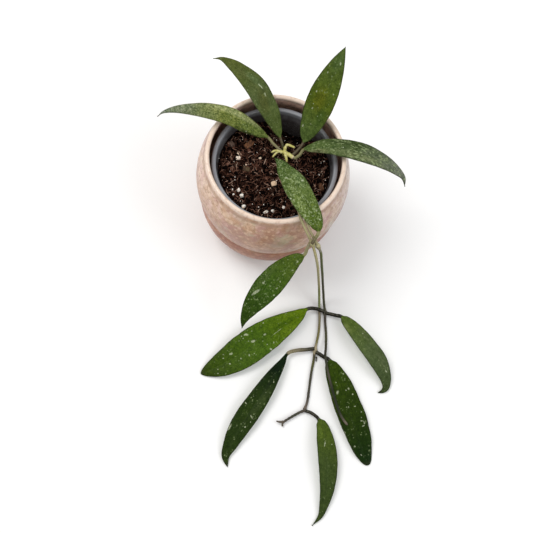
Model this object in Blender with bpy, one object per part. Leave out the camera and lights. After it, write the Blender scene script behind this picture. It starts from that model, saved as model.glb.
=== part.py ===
"""Potted Hoya scortechinii: a young trailing plant in a nursery pot, stood inside a glazed cachepot.

The pot stands on its foot at z = 0, with its axis on the Z axis. Two wiry stems leave the soil, pass over
the rim towards -Y, come down beside the pot and lie along the surface it stands on.

Every size below is in millimetres. The meshes are made in metres.
"""

import math
import random

import bmesh
import bpy
import numpy as np

MM = 0.001
GAP = 0.3            # air left between pieces that touch on the real plant

# Cachepot
POT_HEIGHT = 105.0
FOOT_RADIUS = 43.0
FOOT_BEVEL = 1.5
CREASE_HEIGHT = 47.6      # the fold between the lower body and the belly
CREASE_RADIUS = 59.0
CREASE_STEP = 1.3
LOWER_BULGE = 6.5         # how far the lower body swells past a straight line
BELLY_BULGE = 4.4
LIP_OUTER = 55.0
LIP_INNER = 51.4
WALL = 4.2
POT_FLOOR = 6.0
POT_SIDES = 44

# Nursery pot
NURSERY_FLOOR = POT_FLOOR + GAP
NURSERY_RIM = 93.5
NURSERY_RIM_OUTER = 50.0
NURSERY_RIM_INNER = 46.6
NURSERY_FOOT = 36.0
NURSERY_NECK = 46.4       # outer radius of the wall where it meets the collar
NURSERY_WALL = 1.2
COLLAR_DEPTH = 10.5
DRAIN_HOLE = 3.6
DRAIN_HOLES = 6
DRAIN_CIRCLE = 22.0
NURSERY_SIDES = 36

# Soil
SOIL_LEVEL = 83.5
SOIL_HOLLOWS = [((21.0, 38.0), 16.0, 19.0), ((10.0, 13.0), 4.5, 10.0)]    # place, depth and reach
SOIL_EDGE_PROBE = 44.0    # radius at which the height of the soil's edge is taken
SOIL_ROUGH = 0.9
CLODS = 34
SOIL_SEED = 11
SOIL_RINGS = 11

# Stems
STEM_RADIUS = 1.05
STEM_SIDES = 7
STEM_STEP = 5.0
KNUCKLE = 0.85            # how much a node of the stem is thicker
KNUCKLE_LENGTH = 2.6
CROWN_RADIUS = 2.1
ROOTED_DEPTH = 58.0       # height of the stems' lower ends, down in the soil
HOLE_STATIONS = 8         # stations of a stem that its hole in the soil follows

# Leaves
BLADE_MIDDLE = 1.5        # thickness at the midrib
BLADE_EDGE = 0.7
BLADE_ACROSS = (-1.0, -0.55, 0.0, 0.55, 1.0)
BLADE_STATIONS = 18
PETIOLE_STATIONS = 4
BLEND_SHARE = 0.05        # share of the blade over which the stalk flattens into it
TIP_WIDTH = 0.35

# A leaf has its stalk's route and radius, its midrib's route, its greatest half width, where along the
# blade that is, how round the base is, how drawn out the tip is, its twist at base and tip in degrees, and
# its fold. A positive fold lifts the two margins, and a negative one drops them.
LEAVES = {
    "leaf_crown_left": dict(
        stalk=[(7.1, 15.0, 84.2), (4.2, 17.4, 85.9), (1.2, 20.6, 87.2)],
        rib=[(-1.8, 24.5, 89.0), (-10.5, 26.6, 97.0), (-20.0, 29.2, 105.0), (-32.2, 33.2, 112.5),
             (-45.7, 36.0, 117.0), (-59.9, 38.7, 117.5), (-73.6, 42.2, 113.5), (-83.1, 44.5, 107.0),
             (-88.0, 45.3, 100.0)],
        stalk_radius=1.15, half_width=6.8, widest=0.34, base=0.70, tip=1.2, twist=(20, 34), fold=-0.10),
    "leaf_crown_rear": dict(
        stalk=[(9.7, 16.9, 83.7), (9.0, 20.0, 85.3)],
        rib=[(7.8, 23.8, 88.0), (5.3, 30.1, 94.0), (1.5, 36.5, 103.0), (-4.0, 44.2, 111.5),
             (-9.9, 52.5, 118.5), (-17.4, 61.2, 123.0), (-25.8, 70.3, 124.0), (-33.5, 78.6, 121.5),
             (-40.2, 82.6, 117.0)],
        stalk_radius=1.15, half_width=9.0, widest=0.44, base=0.66, tip=1.15, twist=(0, 0), fold=0.08),
    "leaf_crown_upright": dict(
        stalk=[(16.7, 9.7, 86.3), (19.4, 11.9, 86.5), (22.6, 14.6, 87.0)],
        rib=[(25.5, 17.7, 89.0), (28.6, 22.0, 100.0), (32.2, 26.1, 111.0), (36.0, 31.0, 122.0),
             (39.4, 35.6, 131.0), (44.0, 42.2, 139.0), (49.6, 50.9, 146.0), (56.5, 61.8, 150.0)],
        stalk_radius=1.25, half_width=11.1, widest=0.48, base=0.58, tip=0.92, twist=(0, 0), fold=0.10),
    "leaf_crown_right": dict(
        stalk=[(18.1, 6.9, 85.4), (21.3, 8.4, 86.3)],
        rib=[(24.7, 11.4, 89.0), (31.1, 9.0, 97.5), (39.6, 4.6, 106.5), (48.9, -0.6, 112.5),
             (59.3, -5.8, 115.5), (70.2, -10.8, 115.0), (81.2, -15.2, 111.0), (91.5, -20.1, 104.5),
             (98.4, -24.3, 97.5), (100.3, -28.9, 91.0)],
        stalk_radius=1.25, half_width=7.2, widest=0.46, base=0.50, tip=0.95, twist=(-12, -20), fold=-0.14),
    "leaf_rim_inner": dict(
        stalk=[(18.0, -72.6, 105.0), (20.1, -70.2, 106.5)],
        rib=[(22.9, -66.3, 107.0), (22.3, -59.4, 108.8), (18.5, -49.3, 110.5), (14.1, -38.0, 111.0),
             (9.8, -25.8, 109.5), (5.6, -13.6, 106.0), (2.7, -3.9, 101.5), (-0.3, 2.6, 97.0)],
        stalk_radius=1.3, half_width=9.6, widest=0.46, base=0.50, tip=0.95, twist=(0, 0), fold=0.05),
    "leaf_rim_outer": dict(
        stalk=[(16.1, -72.2, 99.0), (14.6, -74.2, 95.6)],
        rib=[(13.0, -77.0, 91.6), (6.0, -79.7, 88.0), (-2.2, -83.6, 80.0), (-11.4, -89.2, 69.0),
             (-20.4, -94.8, 57.0), (-29.0, -101.9, 45.0), (-35.1, -109.1, 36.0), (-37.7, -115.4, 30.0)],
        stalk_radius=1.3, half_width=10.8, widest=0.45, base=0.58, tip=0.92, twist=(0, 0), fold=0.06),
    "leaf_mid_left": dict(
        stalk=[(35.6, -102.8, 4.9), (33.2, -101.7, 5.6), (29.8, -100.2, 5.8)],
        rib=[(23.1, -99.4, 5.8), (10.2, -106.3, 6.8), (-6.9, -114.5, 7.4), (-24.3, -123.2, 7.0),
             (-40.8, -132.0, 5.5), (-56.7, -139.0, 3.5), (-75.2, -144.3, 1.0)],
        stalk_radius=1.6, half_width=14.4, widest=0.56, base=0.74, tip=0.62, twist=(0, 0), fold=0.08),
    "leaf_mid_right": dict(
        stalk=[(39.4, -104.8, 3.2), (43.0, -106.4, 4.6), (46.6, -108.0, 5.4)],
        rib=[(50.4, -109.4, 6.0), (55.6, -117.0, 8.5), (62.1, -128.0, 11.0), (68.4, -139.4, 12.0),
             (74.5, -150.9, 10.5), (79.0, -161.9, 7.0), (80.5, -168.8, 4.4), (79.8, -174.2, 2.4),
             (76.8, -176.8, 1.5), (72.6, -177.6, 1.0)],
        stalk_radius=1.6, half_width=8.2, widest=0.50, base=0.42, tip=0.85, twist=(0, 8), fold=0.10),
    "leaf_low_left": dict(
        stalk=[(21.8, -134.3, 2.6), (16.0, -134.6, 4.0), (9.2, -134.4, 4.8)],
        rib=[(0.5, -136.0, 5.5), (-6.6, -144.4, 7.0), (-15.7, -154.9, 7.5), (-26.1, -167.4, 7.0),
             (-35.7, -178.6, 6.0), (-46.2, -190.3, 5.0), (-55.4, -203.1, 3.5), (-61.4, -213.5, 2.2),
             (-60.8, -222.2, 1.0)],
        stalk_radius=1.6, half_width=9.0, widest=0.57, base=0.78, tip=0.80, twist=(0, 0), fold=0.08),
    "leaf_low_right": dict(
        stalk=[(25.8, -138.2, 2.4), (28.2, -140.0, 2.7), (31.1, -142.6, 3.1)],
        rib=[(34.5, -145.0, 3.6), (36.4, -152.5, 4.3), (39.9, -166.0, 4.6), (43.3, -180.0, 4.4),
             (46.4, -193.7, 4.0), (49.1, -207.0, 3.4), (51.2, -220.4, 2.4), (54.3, -235.0, 1.0)],
        stalk_radius=1.6, half_width=11.7, widest=0.50, base=0.44, tip=0.46, twist=(0, 0), fold=0.05),
    "leaf_end": dict(
        stalk=[(9.9, -186.0, 2.5), (12.1, -187.0, 3.0), (15.2, -189.5, 3.8)],
        rib=[(18.0, -192.9, 4.5), (20.5, -200.4, 6.0), (21.1, -211.8, 7.0), (20.9, -224.5, 7.0),
             (19.5, -236.8, 6.0), (17.1, -249.0, 4.6), (13.2, -260.0, 3.0), (9.0, -268.7, 1.6),
             (1.3, -275.2, 0.8)],
        stalk_radius=1.35, half_width=7.8, widest=0.35, base=0.44, tip=1.05, twist=(0, 0), fold=0.08),
}

# Each stem's route, from its rooted end to its far end, and the points where a pair of leaves grows.
PALE_STEM = dict(
    route=[(13.0, -3.0, ROOTED_DEPTH), (12.8, -5.0, 70.0), (12.0, -12.0, 84.0), (11.2, -24.0, 95.0),
           (10.8, -38.0, 103.0), (11.4, -53.0, 106.5), (13.3, -61.1, 106.8), (15.6, -67.0, 104.8),
           (18.3, -72.2, 100.5), (19.9, -75.2, 95.5), (22.6, -78.9, 84.0), (25.6, -81.5, 68.0),
           (28.5, -83.2, 49.0), (31.2, -85.6, 30.0), (33.0, -90.3, 13.5), (33.4, -97.2, 3.4),
           (32.8, -104.0, 1.4), (32.0, -110.1, 1.4), (29.5, -121.2, 1.4), (26.3, -129.9, 1.4),
           (24.7, -134.2, 1.4), (23.3, -138.5, 1.4), (21.5, -144.9, 1.4), (18.7, -153.0, 1.4),
           (14.2, -168.5, 1.4), (11.6, -177.5, 1.4), (7.9, -184.9, 1.6)],
    nodes=[(18.3, -72.2, 100.5), (24.2, -135.8, 1.4), (7.9, -184.9, 1.6)],
)
DARK_STEM = dict(
    route=[(20.0, -5.0, ROOTED_DEPTH), (19.8, -7.0, 70.0), (18.6, -14.0, 84.0), (17.2, -26.0, 95.0),
           (15.8, -40.0, 103.2), (15.2, -53.0, 106.5), (16.4, -62.1, 106.8), (19.4, -68.7, 103.8),
           (22.9, -73.7, 98.0), (25.4, -76.4, 91.0), (27.2, -78.9, 80.0), (29.4, -80.9, 65.0),
           (31.9, -82.6, 49.0), (34.6, -85.0, 30.0), (36.8, -89.7, 13.5), (37.7, -97.0, 4.0),
           (37.8, -103.6, 2.0), (36.9, -110.6, 1.4), (35.7, -124.2, 1.4), (33.6, -134.6, 3.4),
           (31.6, -142.0, 6.9), (31.6, -156.5, 7.4), (33.4, -173.6, 7.3), (35.4, -187.0, 6.9),
           (38.0, -195.4, 6.5), (41.4, -201.4, 6.2)],
    nodes=[(22.9, -73.7, 98.0), (37.8, -103.6, 2.0)],
)

# The short side shoots, each as its route and its radius at the two ends.
CROWN_ARMS = [
    dict(route=[(10.2, 13.0, 84.0), (10.6, 15.5, 86.4), (12.4, 17.2, 88.6), (15.7, 15.2, 89.6),
                (18.4, 13.8, 89.2)], radii=(1.5, 0.8)),
    dict(route=[(10.2, 12.8, 84.6), (6.6, 12.7, 86.4), (2.4, 13.4, 87.8), (-1.4, 12.4, 87.2)],
         radii=(1.6, 0.7)),
    dict(route=[(4.6, 12.9, 87.0), (2.2, 11.6, 86.0), (-0.4, 9.3, 84.6)], radii=(1.1, 0.7)),
    dict(route=[(10.2, 12.4, 84.8), (10.3, 9.2, 86.2), (10.7, 3.6, 85.2)], radii=(1.5, 0.8)),
    dict(route=[(10.6, 12.4, 83.6), (13.2, 10.0, 85.2), (16.4, 6.6, 86.0)], radii=(1.9, 1.7)),
]
END_SHOOT = [
    dict(route=[(6.0, -185.6, 1.9), (4.0, -186.0, 2.2), (-2.2, -188.4, 2.4), (-9.1, -191.4, 2.4),
                (-11.4, -192.8, 2.2)], radii=(1.1, 1.0)),
    dict(route=[(-10.6, -192.2, 2.3), (-13.8, -191.8, 2.6), (-16.8, -190.9, 3.0)], radii=(1.1, 0.6)),
    dict(route=[(-10.8, -191.8, 2.3), (-11.8, -193.6, 2.1), (-12.2, -195.8, 2.0)], radii=(1.1, 0.7)),
]
SIDE_BUD = dict(route=[(24.8, -141.2, 1.3), (24.4, -143.1, 1.2), (23.9, -145.2, 1.1)], radii=(0.65, 0.5))

# Loose grains that lie in the soil, each by its place, its three half sizes and its turn in degrees.
PERLITE = [
    ((-28.5, -21.2), (2.0, 1.6, 1.4), 20), ((-30.5, -16.6), (1.6, 1.3, 1.2), 70),
    ((-28.0, 10.9), (2.3, 1.9, 1.5), 10), ((-28.0, -30.2), (1.8, 1.5, 1.2), 45),
    ((-11.5, -36.8), (2.2, 1.3, 1.1), 15), ((-5.9, -36.8), (1.2, 1.4, 1.1), 80),
    ((-2.1, -13.5), (2.5, 2.2, 1.8), 30), ((3.1, -34.1), (1.6, 1.3, 1.1), 55),
]
BARK = [
    ((35.2, -20.0), (3.4, 1.8, 1.2), 100), ((-17.9, 22.1), (4.4, 2.4, 1.4), 35),
    ((-31.5, 24.5), (2.6, 2.0, 1.2), 120), ((-22.5, 1.3), (3.2, 2.1, 1.2), 160),
]

COLOURS = {
    "glaze": ((0.60, 0.45, 0.40), 0.38),
    "nursery_plastic": ((0.30, 0.31, 0.33), 0.45),
    "soil": ((0.045, 0.028, 0.020), 0.95),
    "perlite": ((0.80, 0.76, 0.68), 0.90),
    "bark": ((0.16, 0.075, 0.035), 0.90),
    "crown_shoot": ((0.55, 0.56, 0.22), 0.55),
    "stem_pale": ((0.36, 0.36, 0.17), 0.60),
    "stem_dark": ((0.10, 0.085, 0.045), 0.60),
    "leaf": ((0.065, 0.15, 0.045), 0.42),
}


def clear_scene():
    for found in list(bpy.data.objects):
        bpy.data.objects.remove(found, do_unlink=True)


def finish_for(slot, name):
    """A material of its own for one object, in its slot's colour and roughness."""
    colour, roughness = COLOURS[slot]
    made = bpy.data.materials.new(name + "_" + slot)
    made.use_nodes = True
    shader = made.node_tree.nodes["Principled BSDF"]
    shader.inputs["Base Color"].default_value = (*colour, 1.0)
    shader.inputs["Roughness"].default_value = roughness
    shader.inputs["Metallic"].default_value = 0.0
    made.diffuse_color = (*colour, 1.0)
    return made


def solid(name, points, faces, slot, crease_angle=math.radians(40)):
    """One object from points in millimetres, with its faces turned outwards."""
    mesh = bpy.data.meshes.new(name)
    mesh.from_pydata([tuple(c * MM for c in p) for p in points], [], faces)
    work = bmesh.new()
    work.from_mesh(mesh)
    bmesh.ops.recalc_face_normals(work, faces=work.faces)
    work.to_mesh(mesh)
    work.free()
    made = bpy.data.objects.new(name, mesh)
    bpy.context.scene.collection.objects.link(made)
    mesh.materials.append(finish_for(slot, name))
    mesh.shade_smooth()
    mesh.set_sharp_from_angle(angle=crease_angle)
    return made


def turned(name, profile, sides, slot):
    """A closed body turned about the Z axis. The profile starts and ends on the axis."""
    points = [(0.0, 0.0, profile[0][1])]
    for radius, height in profile[1:-1]:
        for k in range(sides):
            angle = math.tau * k / sides
            points.append((radius * math.cos(angle), radius * math.sin(angle), height))
    points.append((0.0, 0.0, profile[-1][1]))
    last = len(points) - 1
    rows = len(profile) - 2
    faces = []
    for k in range(sides):
        after = (k + 1) % sides
        faces.append((0, 1 + after, 1 + k))
        for row in range(rows - 1):
            low = 1 + row * sides
            high = low + sides
            faces.append((low + k, low + after, high + after, high + k))
        top = 1 + (rows - 1) * sides
        faces.append((top + k, top + after, last))
    return solid(name, points, faces, slot, math.radians(30))


def bowed(start, end, bulge, steps):
    """Points of a profile from start to end, swollen outwards by bulge half way."""
    found = []
    for k in range(steps + 1):
        t = k / steps
        radius = start[0] + (end[0] - start[0]) * t + bulge * 4 * t * (1 - t)
        found.append((radius, start[1] + (end[1] - start[1]) * t))
    return found


def smooth_route(points, count):
    """Evenly spaced points along a smooth curve through the given ones."""
    given = np.array(points, float)
    ends = [2 * given[0] - given[1], *given, 2 * given[-1] - given[-2]]
    fine = []
    for k in range(1, len(ends) - 2):
        p0, p1, p2, p3 = (np.array(ends[k + shift]) for shift in (-1, 0, 1, 2))
        knots = [0.0]
        for a, b in ((p0, p1), (p1, p2), (p2, p3)):
            knots.append(knots[-1] + math.sqrt(np.linalg.norm(b - a)))
        t0, t1, t2, t3 = knots
        for t in np.linspace(t1, t2, 12, endpoint=False):
            a1 = (t1 - t) / (t1 - t0) * p0 + (t - t0) / (t1 - t0) * p1
            a2 = (t2 - t) / (t2 - t1) * p1 + (t - t1) / (t2 - t1) * p2
            a3 = (t3 - t) / (t3 - t2) * p2 + (t - t2) / (t3 - t2) * p3
            b1 = (t2 - t) / (t2 - t0) * a1 + (t - t0) / (t2 - t0) * a2
            b2 = (t3 - t) / (t3 - t1) * a2 + (t - t1) / (t3 - t1) * a3
            fine.append((t2 - t) / (t2 - t1) * b1 + (t - t1) / (t2 - t1) * b2)
    fine.append(given[-1])
    fine = np.array(fine)
    walked = np.concatenate([[0], np.cumsum(np.linalg.norm(np.diff(fine, axis=0), axis=1))])
    wanted = np.linspace(0, walked[-1], count)
    return np.stack([np.interp(wanted, walked, fine[:, axis]) for axis in range(3)], 1)


def route_length(points):
    return float(np.linalg.norm(np.diff(smooth_route(points, 200), axis=0), axis=1).sum())


def directions(route):
    """The unit direction of travel at each point of a route."""
    along = np.gradient(route, axis=0)
    return along / np.linalg.norm(along, axis=1)[:, None]


def carried_frames(route):
    """Side and up vectors that follow a stem's route without twisting."""
    along = directions(route)
    side = np.cross(along[0], (0.3, 1.0, 0.2))
    sides = []
    for direction in along:
        side = side - direction * (side @ direction)
        side = side / np.linalg.norm(side)
        sides.append(side)
    sides = np.array(sides)
    return sides, np.cross(sides, along)


def level_frames(route, twist):
    """Side and up vectors of a blade: level from side to side, then twisted."""
    along = directions(route)
    side = np.cross(along, (0.0, 0.0, 1.0))
    side = side / np.linalg.norm(side, axis=1)[:, None]
    up = np.cross(side, along)
    angle = np.radians(np.linspace(twist[0], twist[1], len(route)))[:, None]
    return side * np.cos(angle) + up * np.sin(angle), up * np.cos(angle) - side * np.sin(angle)


def tube(name, route, radii, sides, slot):
    """A round stem along a route, with a radius at each of its points."""
    side, up = carried_frames(route)
    points = []
    for k, centre in enumerate(route):
        for j in range(sides):
            angle = math.tau * j / sides
            points.append(centre + radii[k] * (side[k] * math.cos(angle) + up[k] * math.sin(angle)))
    faces = [tuple(range(sides)), tuple(range(len(points) - sides, len(points)))]
    for k in range(len(route) - 1):
        for j in range(sides):
            after = (j + 1) % sides
            low = k * sides
            high = low + sides
            faces.append((low + j, low + after, high + after, high + j))
    return solid(name, points, faces, slot)


def stem(name, route, nodes, slot, extra=0.0, stations=None):
    """A trailing stem, thicker at its nodes. Its hole's cutter is its first stations, a little fatter."""
    count = int(route_length(route) / STEM_STEP) + 1
    points = smooth_route(route, count)
    swell = np.zeros(count)
    for node in nodes:
        away = np.linalg.norm(points - np.array(node), axis=1)
        swell = np.maximum(swell, KNUCKLE * np.exp(-(away / KNUCKLE_LENGTH) ** 2))
    radii = STEM_RADIUS + swell + extra
    radii[-1] = radii[-1] - 0.35
    return tube(name, points[:stations], radii[:stations], STEM_SIDES, slot)


def side_shoot(name, arm, slot):
    points = smooth_route(arm["route"], 3 * len(arm["route"]))
    radii = np.linspace(arm["radii"][0], arm["radii"][1], len(points))
    radii[-1] = radii[-1] * 0.6
    return tube(name, points, radii, 6, slot)


def joined(main, others):
    """Unites the other bodies with the main one, and removes them."""
    group = bpy.data.collections.new(main.name + "_arms")
    bpy.context.scene.collection.children.link(group)
    for other in others:
        bpy.context.scene.collection.objects.unlink(other)
        group.objects.link(other)
    union = main.modifiers.new("arms", "BOOLEAN")
    union.operation = "UNION"
    union.operand_type = "COLLECTION"
    union.collection = group
    union.solver = "EXACT"
    bpy.context.view_layer.update()
    seen = main.evaluated_get(bpy.context.evaluated_depsgraph_get())
    mesh = bpy.data.meshes.new_from_object(seen)
    main.modifiers.clear()
    main.data = mesh
    for other in others:
        bpy.data.objects.remove(other, do_unlink=True)
    bpy.data.collections.remove(group)
    return main


def cut_away(body, cutters):
    """Takes the cutters' shapes out of a body. The cutters stay as hidden guides."""
    group = bpy.data.collections.new(body.name + "_cutters")
    bpy.context.scene.collection.children.link(group)
    for cutter in cutters:
        bpy.context.scene.collection.objects.unlink(cutter)
        group.objects.link(cutter)
        cutter.hide_render = True
        cutter.display_type = "WIRE"
    cut = body.modifiers.new("holes", "BOOLEAN")
    cut.operation = "DIFFERENCE"
    cut.operand_type = "COLLECTION"
    cut.collection = group
    cut.solver = "EXACT"


def blade_share(t, leaf):
    """Half width of a blade at share t of its length, as a share of the greatest."""
    widest = leaf["widest"]
    if t < widest:
        return math.sin(math.pi / 2 * t / widest) ** leaf["base"]
    return max(0.0, math.cos(math.pi / 2 * (t - widest) / (1 - widest))) ** leaf["tip"]


def leaf_ring(centre, side, up, half_width, stalk_radius, fold, flatness):
    """One section of a leaf: round where it is stalk, a thin lens where it is blade."""
    top = []
    bottom = []
    last = len(BLADE_ACROSS) - 1
    for j, across in enumerate(BLADE_ACROSS):
        angle = math.radians(165 - 150 * j / last)
        round_x = stalk_radius * math.cos(angle)
        round_z = stalk_radius * math.sin(angle)
        thick = BLADE_EDGE + (BLADE_MIDDLE - BLADE_EDGE) * (1 - across * across)
        thick = thick * min(1.0, 0.55 + half_width / 4)
        lift = fold * abs(across) * half_width
        for points, face in ((top, 1), (bottom, -1)):
            x = (1 - flatness) * round_x + flatness * across * half_width
            z = (1 - flatness) * face * round_z + flatness * (lift + face * thick / 2)
            points.append(centre + side * x + up * z)
    return top, bottom


def leaf_solid(name, leaf):
    """A whole leaf, stalk and blade in one closed body."""
    stalk_length = route_length(leaf["stalk"] + leaf["rib"][:1])
    whole = smooth_route(leaf["stalk"] + leaf["rib"], 400)
    walked = np.concatenate([[0], np.cumsum(np.linalg.norm(np.diff(whole, axis=0), axis=1))])
    blade_length = walked[-1] - stalk_length
    shares = [-(1 - k / PETIOLE_STATIONS) * stalk_length / blade_length for k in range(PETIOLE_STATIONS)]
    shares += [BLEND_SHARE * k / 3 for k in range(3)]
    steps = BLADE_STATIONS - 3
    shares += [BLEND_SHARE + (1 - BLEND_SHARE) * k / steps for k in range(steps + 1)]
    wanted = [stalk_length + share * blade_length for share in shares]
    route = np.stack([np.interp(wanted, walked, whole[:, axis]) for axis in range(3)], 1)
    side, up = level_frames(route, leaf["twist"])
    rings = []
    for k, share in enumerate(shares):
        flatness = min(1.0, max(0.0, share / BLEND_SHARE))
        flatness = flatness * flatness * (3 - 2 * flatness)
        width = leaf["half_width"] * blade_share(max(0.0, min(1.0, share)), leaf)
        rings.append(leaf_ring(route[k], side[k], up[k], max(TIP_WIDTH, width), leaf["stalk_radius"],
                               leaf["fold"], flatness))
    across = len(BLADE_ACROSS)
    points = []
    for top, bottom in rings:
        points += top + bottom
    faces = []
    ring = 2 * across

    def both_faces(k, j):
        """The same two triangles on the upper and the under side."""
        for shift in (0, across):
            a = k * ring + shift + j
            b = a + ring
            faces.append((a, a + 1, b + 1))
            faces.append((a, b + 1, b))

    for k in range(len(rings) - 1):
        for j in range(across - 1):
            both_faces(k, j)
        for j in (0, across - 1):
            a = k * ring + j
            b = a + ring
            faces.append((a, b, b + across, a + across))
    for k in (0, len(rings) - 1):
        for j in range(across - 1):
            a = k * ring + j
            faces.append((a, a + 1, a + 1 + across, a + across))
    return solid(name, points, faces, "leaf")


def cachepot():
    lower = bowed((FOOT_RADIUS + FOOT_BEVEL, FOOT_BEVEL), (CREASE_RADIUS, CREASE_HEIGHT - 0.6),
                  LOWER_BULGE, 7)
    belly = bowed((CREASE_RADIUS + CREASE_STEP, CREASE_HEIGHT + 0.8), (LIP_OUTER + 0.2, POT_HEIGHT - 2.6),
                  BELLY_BULGE, 9)
    lip_middle = (LIP_OUTER + LIP_INNER) / 2
    lip = [(LIP_OUTER - 0.35, POT_HEIGHT - 0.8), (lip_middle, POT_HEIGHT),
           (LIP_INNER + 0.35, POT_HEIGHT - 0.8), (LIP_INNER, POT_HEIGHT - 2.6)]
    inner_crease = (CREASE_RADIUS + CREASE_STEP - WALL, CREASE_HEIGHT)
    inner_belly = bowed((LIP_INNER + 0.6, POT_HEIGHT - 6.0), inner_crease, BELLY_BULGE, 6)
    under_crease = (CREASE_RADIUS - WALL - 0.6, CREASE_HEIGHT - 3.0)
    inner_lower = bowed(under_crease, (FOOT_RADIUS - 2.0, POT_FLOOR + 1.2), LOWER_BULGE - 1.0, 5)
    profile = [(0.0, 0.0), (FOOT_RADIUS, 0.0), *lower, *belly, *lip, *inner_belly, *inner_lower,
               (FOOT_RADIUS - 4.5, POT_FLOOR), (0.0, POT_FLOOR)]
    return turned("cachepot", profile, POT_SIDES, "glaze")


def nursery_inner(height):
    """Inner radius of the nursery pot's wall at a height."""
    share = (height - NURSERY_FLOOR) / (NURSERY_RIM - COLLAR_DEPTH - NURSERY_FLOOR)
    return NURSERY_FOOT + (NURSERY_NECK - NURSERY_FOOT) * share - NURSERY_WALL


def nursery_pot():
    neck = NURSERY_RIM - COLLAR_DEPTH
    skirt = NURSERY_RIM_OUTER - NURSERY_WALL
    inside_floor = NURSERY_FLOOR + NURSERY_WALL
    profile = [(0.0, NURSERY_FLOOR), (NURSERY_FOOT - 1.2, NURSERY_FLOOR),
               (NURSERY_FOOT, NURSERY_FLOOR + 1.2), (NURSERY_NECK, neck),
               (NURSERY_NECK + 0.5, NURSERY_RIM - 2.2), (skirt, NURSERY_RIM - 2.2), (skirt, neck + 1.0),
               (NURSERY_RIM_OUTER, neck + 1.0), (NURSERY_RIM_OUTER, NURSERY_RIM - 0.7),
               (NURSERY_RIM_OUTER - 0.6, NURSERY_RIM), (NURSERY_RIM_INNER + 0.6, NURSERY_RIM),
               (NURSERY_RIM_INNER, NURSERY_RIM - 0.7), (nursery_inner(neck), neck),
               (nursery_inner(inside_floor + 1.0), inside_floor + 1.0),
               (nursery_inner(inside_floor) - 1.0, inside_floor), (0.0, inside_floor)]
    pot = turned("nursery_pot", profile, NURSERY_SIDES, "nursery_plastic")
    cutters = []
    for k in range(DRAIN_HOLES):
        angle = math.tau * (k + 0.5) / DRAIN_HOLES
        centre = np.array([DRAIN_CIRCLE * math.cos(angle), DRAIN_CIRCLE * math.sin(angle), 0.0])
        route = np.array([centre + (0, 0, NURSERY_FLOOR - 1.0), centre + (0, 0, inside_floor + 1.0)])
        name = "drain_cutter_%d" % (k + 1)
        cutters.append(tube(name, route, [DRAIN_HOLE, DRAIN_HOLE], 12, "nursery_plastic"))
    cut_away(pot, cutters)
    return pot


def soil_height(x, y, clods):
    """Height of the soil at a place: a level with hollows in it and clods of peat that stand out of it."""
    height = SOIL_LEVEL
    for (hx, hy), depth, reach in SOIL_HOLLOWS:
        height -= depth * math.exp(-((x - hx) ** 2 + (y - hy) ** 2) / reach ** 2)
    rise = 0.0
    for cx, cy, radius, tall in clods:
        away = math.hypot(x - cx, y - cy) / radius
        if away < 1:
            rise = max(rise, tall * (1 - away * away))
    return height + rise


def soil_edge(angle):
    """Radius and height at which the soil meets the nursery pot's wall."""
    height = soil_height(SOIL_EDGE_PROBE * math.cos(angle), SOIL_EDGE_PROBE * math.sin(angle), [])
    return nursery_inner(height) - GAP, height


def soil_clods():
    draw = random.Random(SOIL_SEED)
    clods = []
    for _ in range(CLODS):
        angle = draw.uniform(0, math.tau)
        reach = 38 * math.sqrt(draw.random())
        radius = draw.uniform(4, 8)
        tall = draw.uniform(0.8, 2.4)
        clods.append((reach * math.cos(angle), reach * math.sin(angle), radius, tall))
    return clods


def soil_body(clods):
    draw = random.Random(SOIL_SEED + 1)
    inside_floor = NURSERY_FLOOR + NURSERY_WALL + GAP
    foot = nursery_inner(inside_floor + 1.0) - 1.0 - GAP
    angles = [math.tau * k / NURSERY_SIDES for k in range(NURSERY_SIDES)]
    points = [(0.0, 0.0, inside_floor)]
    points += [(foot * math.cos(angle), foot * math.sin(angle), inside_floor) for angle in angles]
    for ring in range(SOIL_RINGS):
        for angle in angles:
            edge, height = soil_edge(angle)
            radius = edge * (SOIL_RINGS - ring) / SOIL_RINGS
            x = radius * math.cos(angle)
            y = radius * math.sin(angle)
            if ring > 0:
                height = soil_height(x, y, clods) + draw.uniform(-SOIL_ROUGH, SOIL_ROUGH)
            points.append((x, y, height))
    points.append((0.0, 0.0, soil_height(0, 0, clods)))
    last = len(points) - 1
    faces = []
    for k in range(NURSERY_SIDES):
        after = (k + 1) % NURSERY_SIDES
        faces.append((0, 1 + after, 1 + k))
        for row in range(SOIL_RINGS):
            low = 1 + row * NURSERY_SIDES
            high = low + NURSERY_SIDES
            faces.append((low + k, low + after, high + after))
            faces.append((low + k, high + after, high + k))
        top = 1 + SOIL_RINGS * NURSERY_SIDES
        faces.append((top + k, top + after, last))
    return solid("soil", points, faces, "soil")


def grain(name, place, half_sizes, turn, clods, slot, extra=0.0, seed=0, block=False):
    """A rough grain half sunk in the soil. Its socket is cut with the same shape, a little larger."""
    work = bmesh.new()
    if block:
        bmesh.ops.create_cube(work, size=2.0)
        bmesh.ops.bevel(work, geom=work.edges[:], offset=0.3, segments=1, affect="EDGES", clamp_overlap=True)
    else:
        bmesh.ops.create_icosphere(work, subdivisions=1, radius=1.0)
    draw = random.Random(seed)
    spin = math.radians(turn)
    height = soil_height(place[0], place[1], clods) + half_sizes[2] * 0.35
    points = []
    for corner in work.verts:
        rough = draw.uniform(0.86, 1.1)
        local = [corner.co[axis] * (half_sizes[axis] + extra) * rough for axis in range(3)]
        points.append((place[0] + local[0] * math.cos(spin) - local[1] * math.sin(spin),
                       place[1] + local[0] * math.sin(spin) + local[1] * math.cos(spin),
                       height + local[2]))
    faces = [tuple(corner.index for corner in face.verts) for face in work.faces]
    work.free()
    return solid(name, points, faces, slot, math.radians(20))


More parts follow.
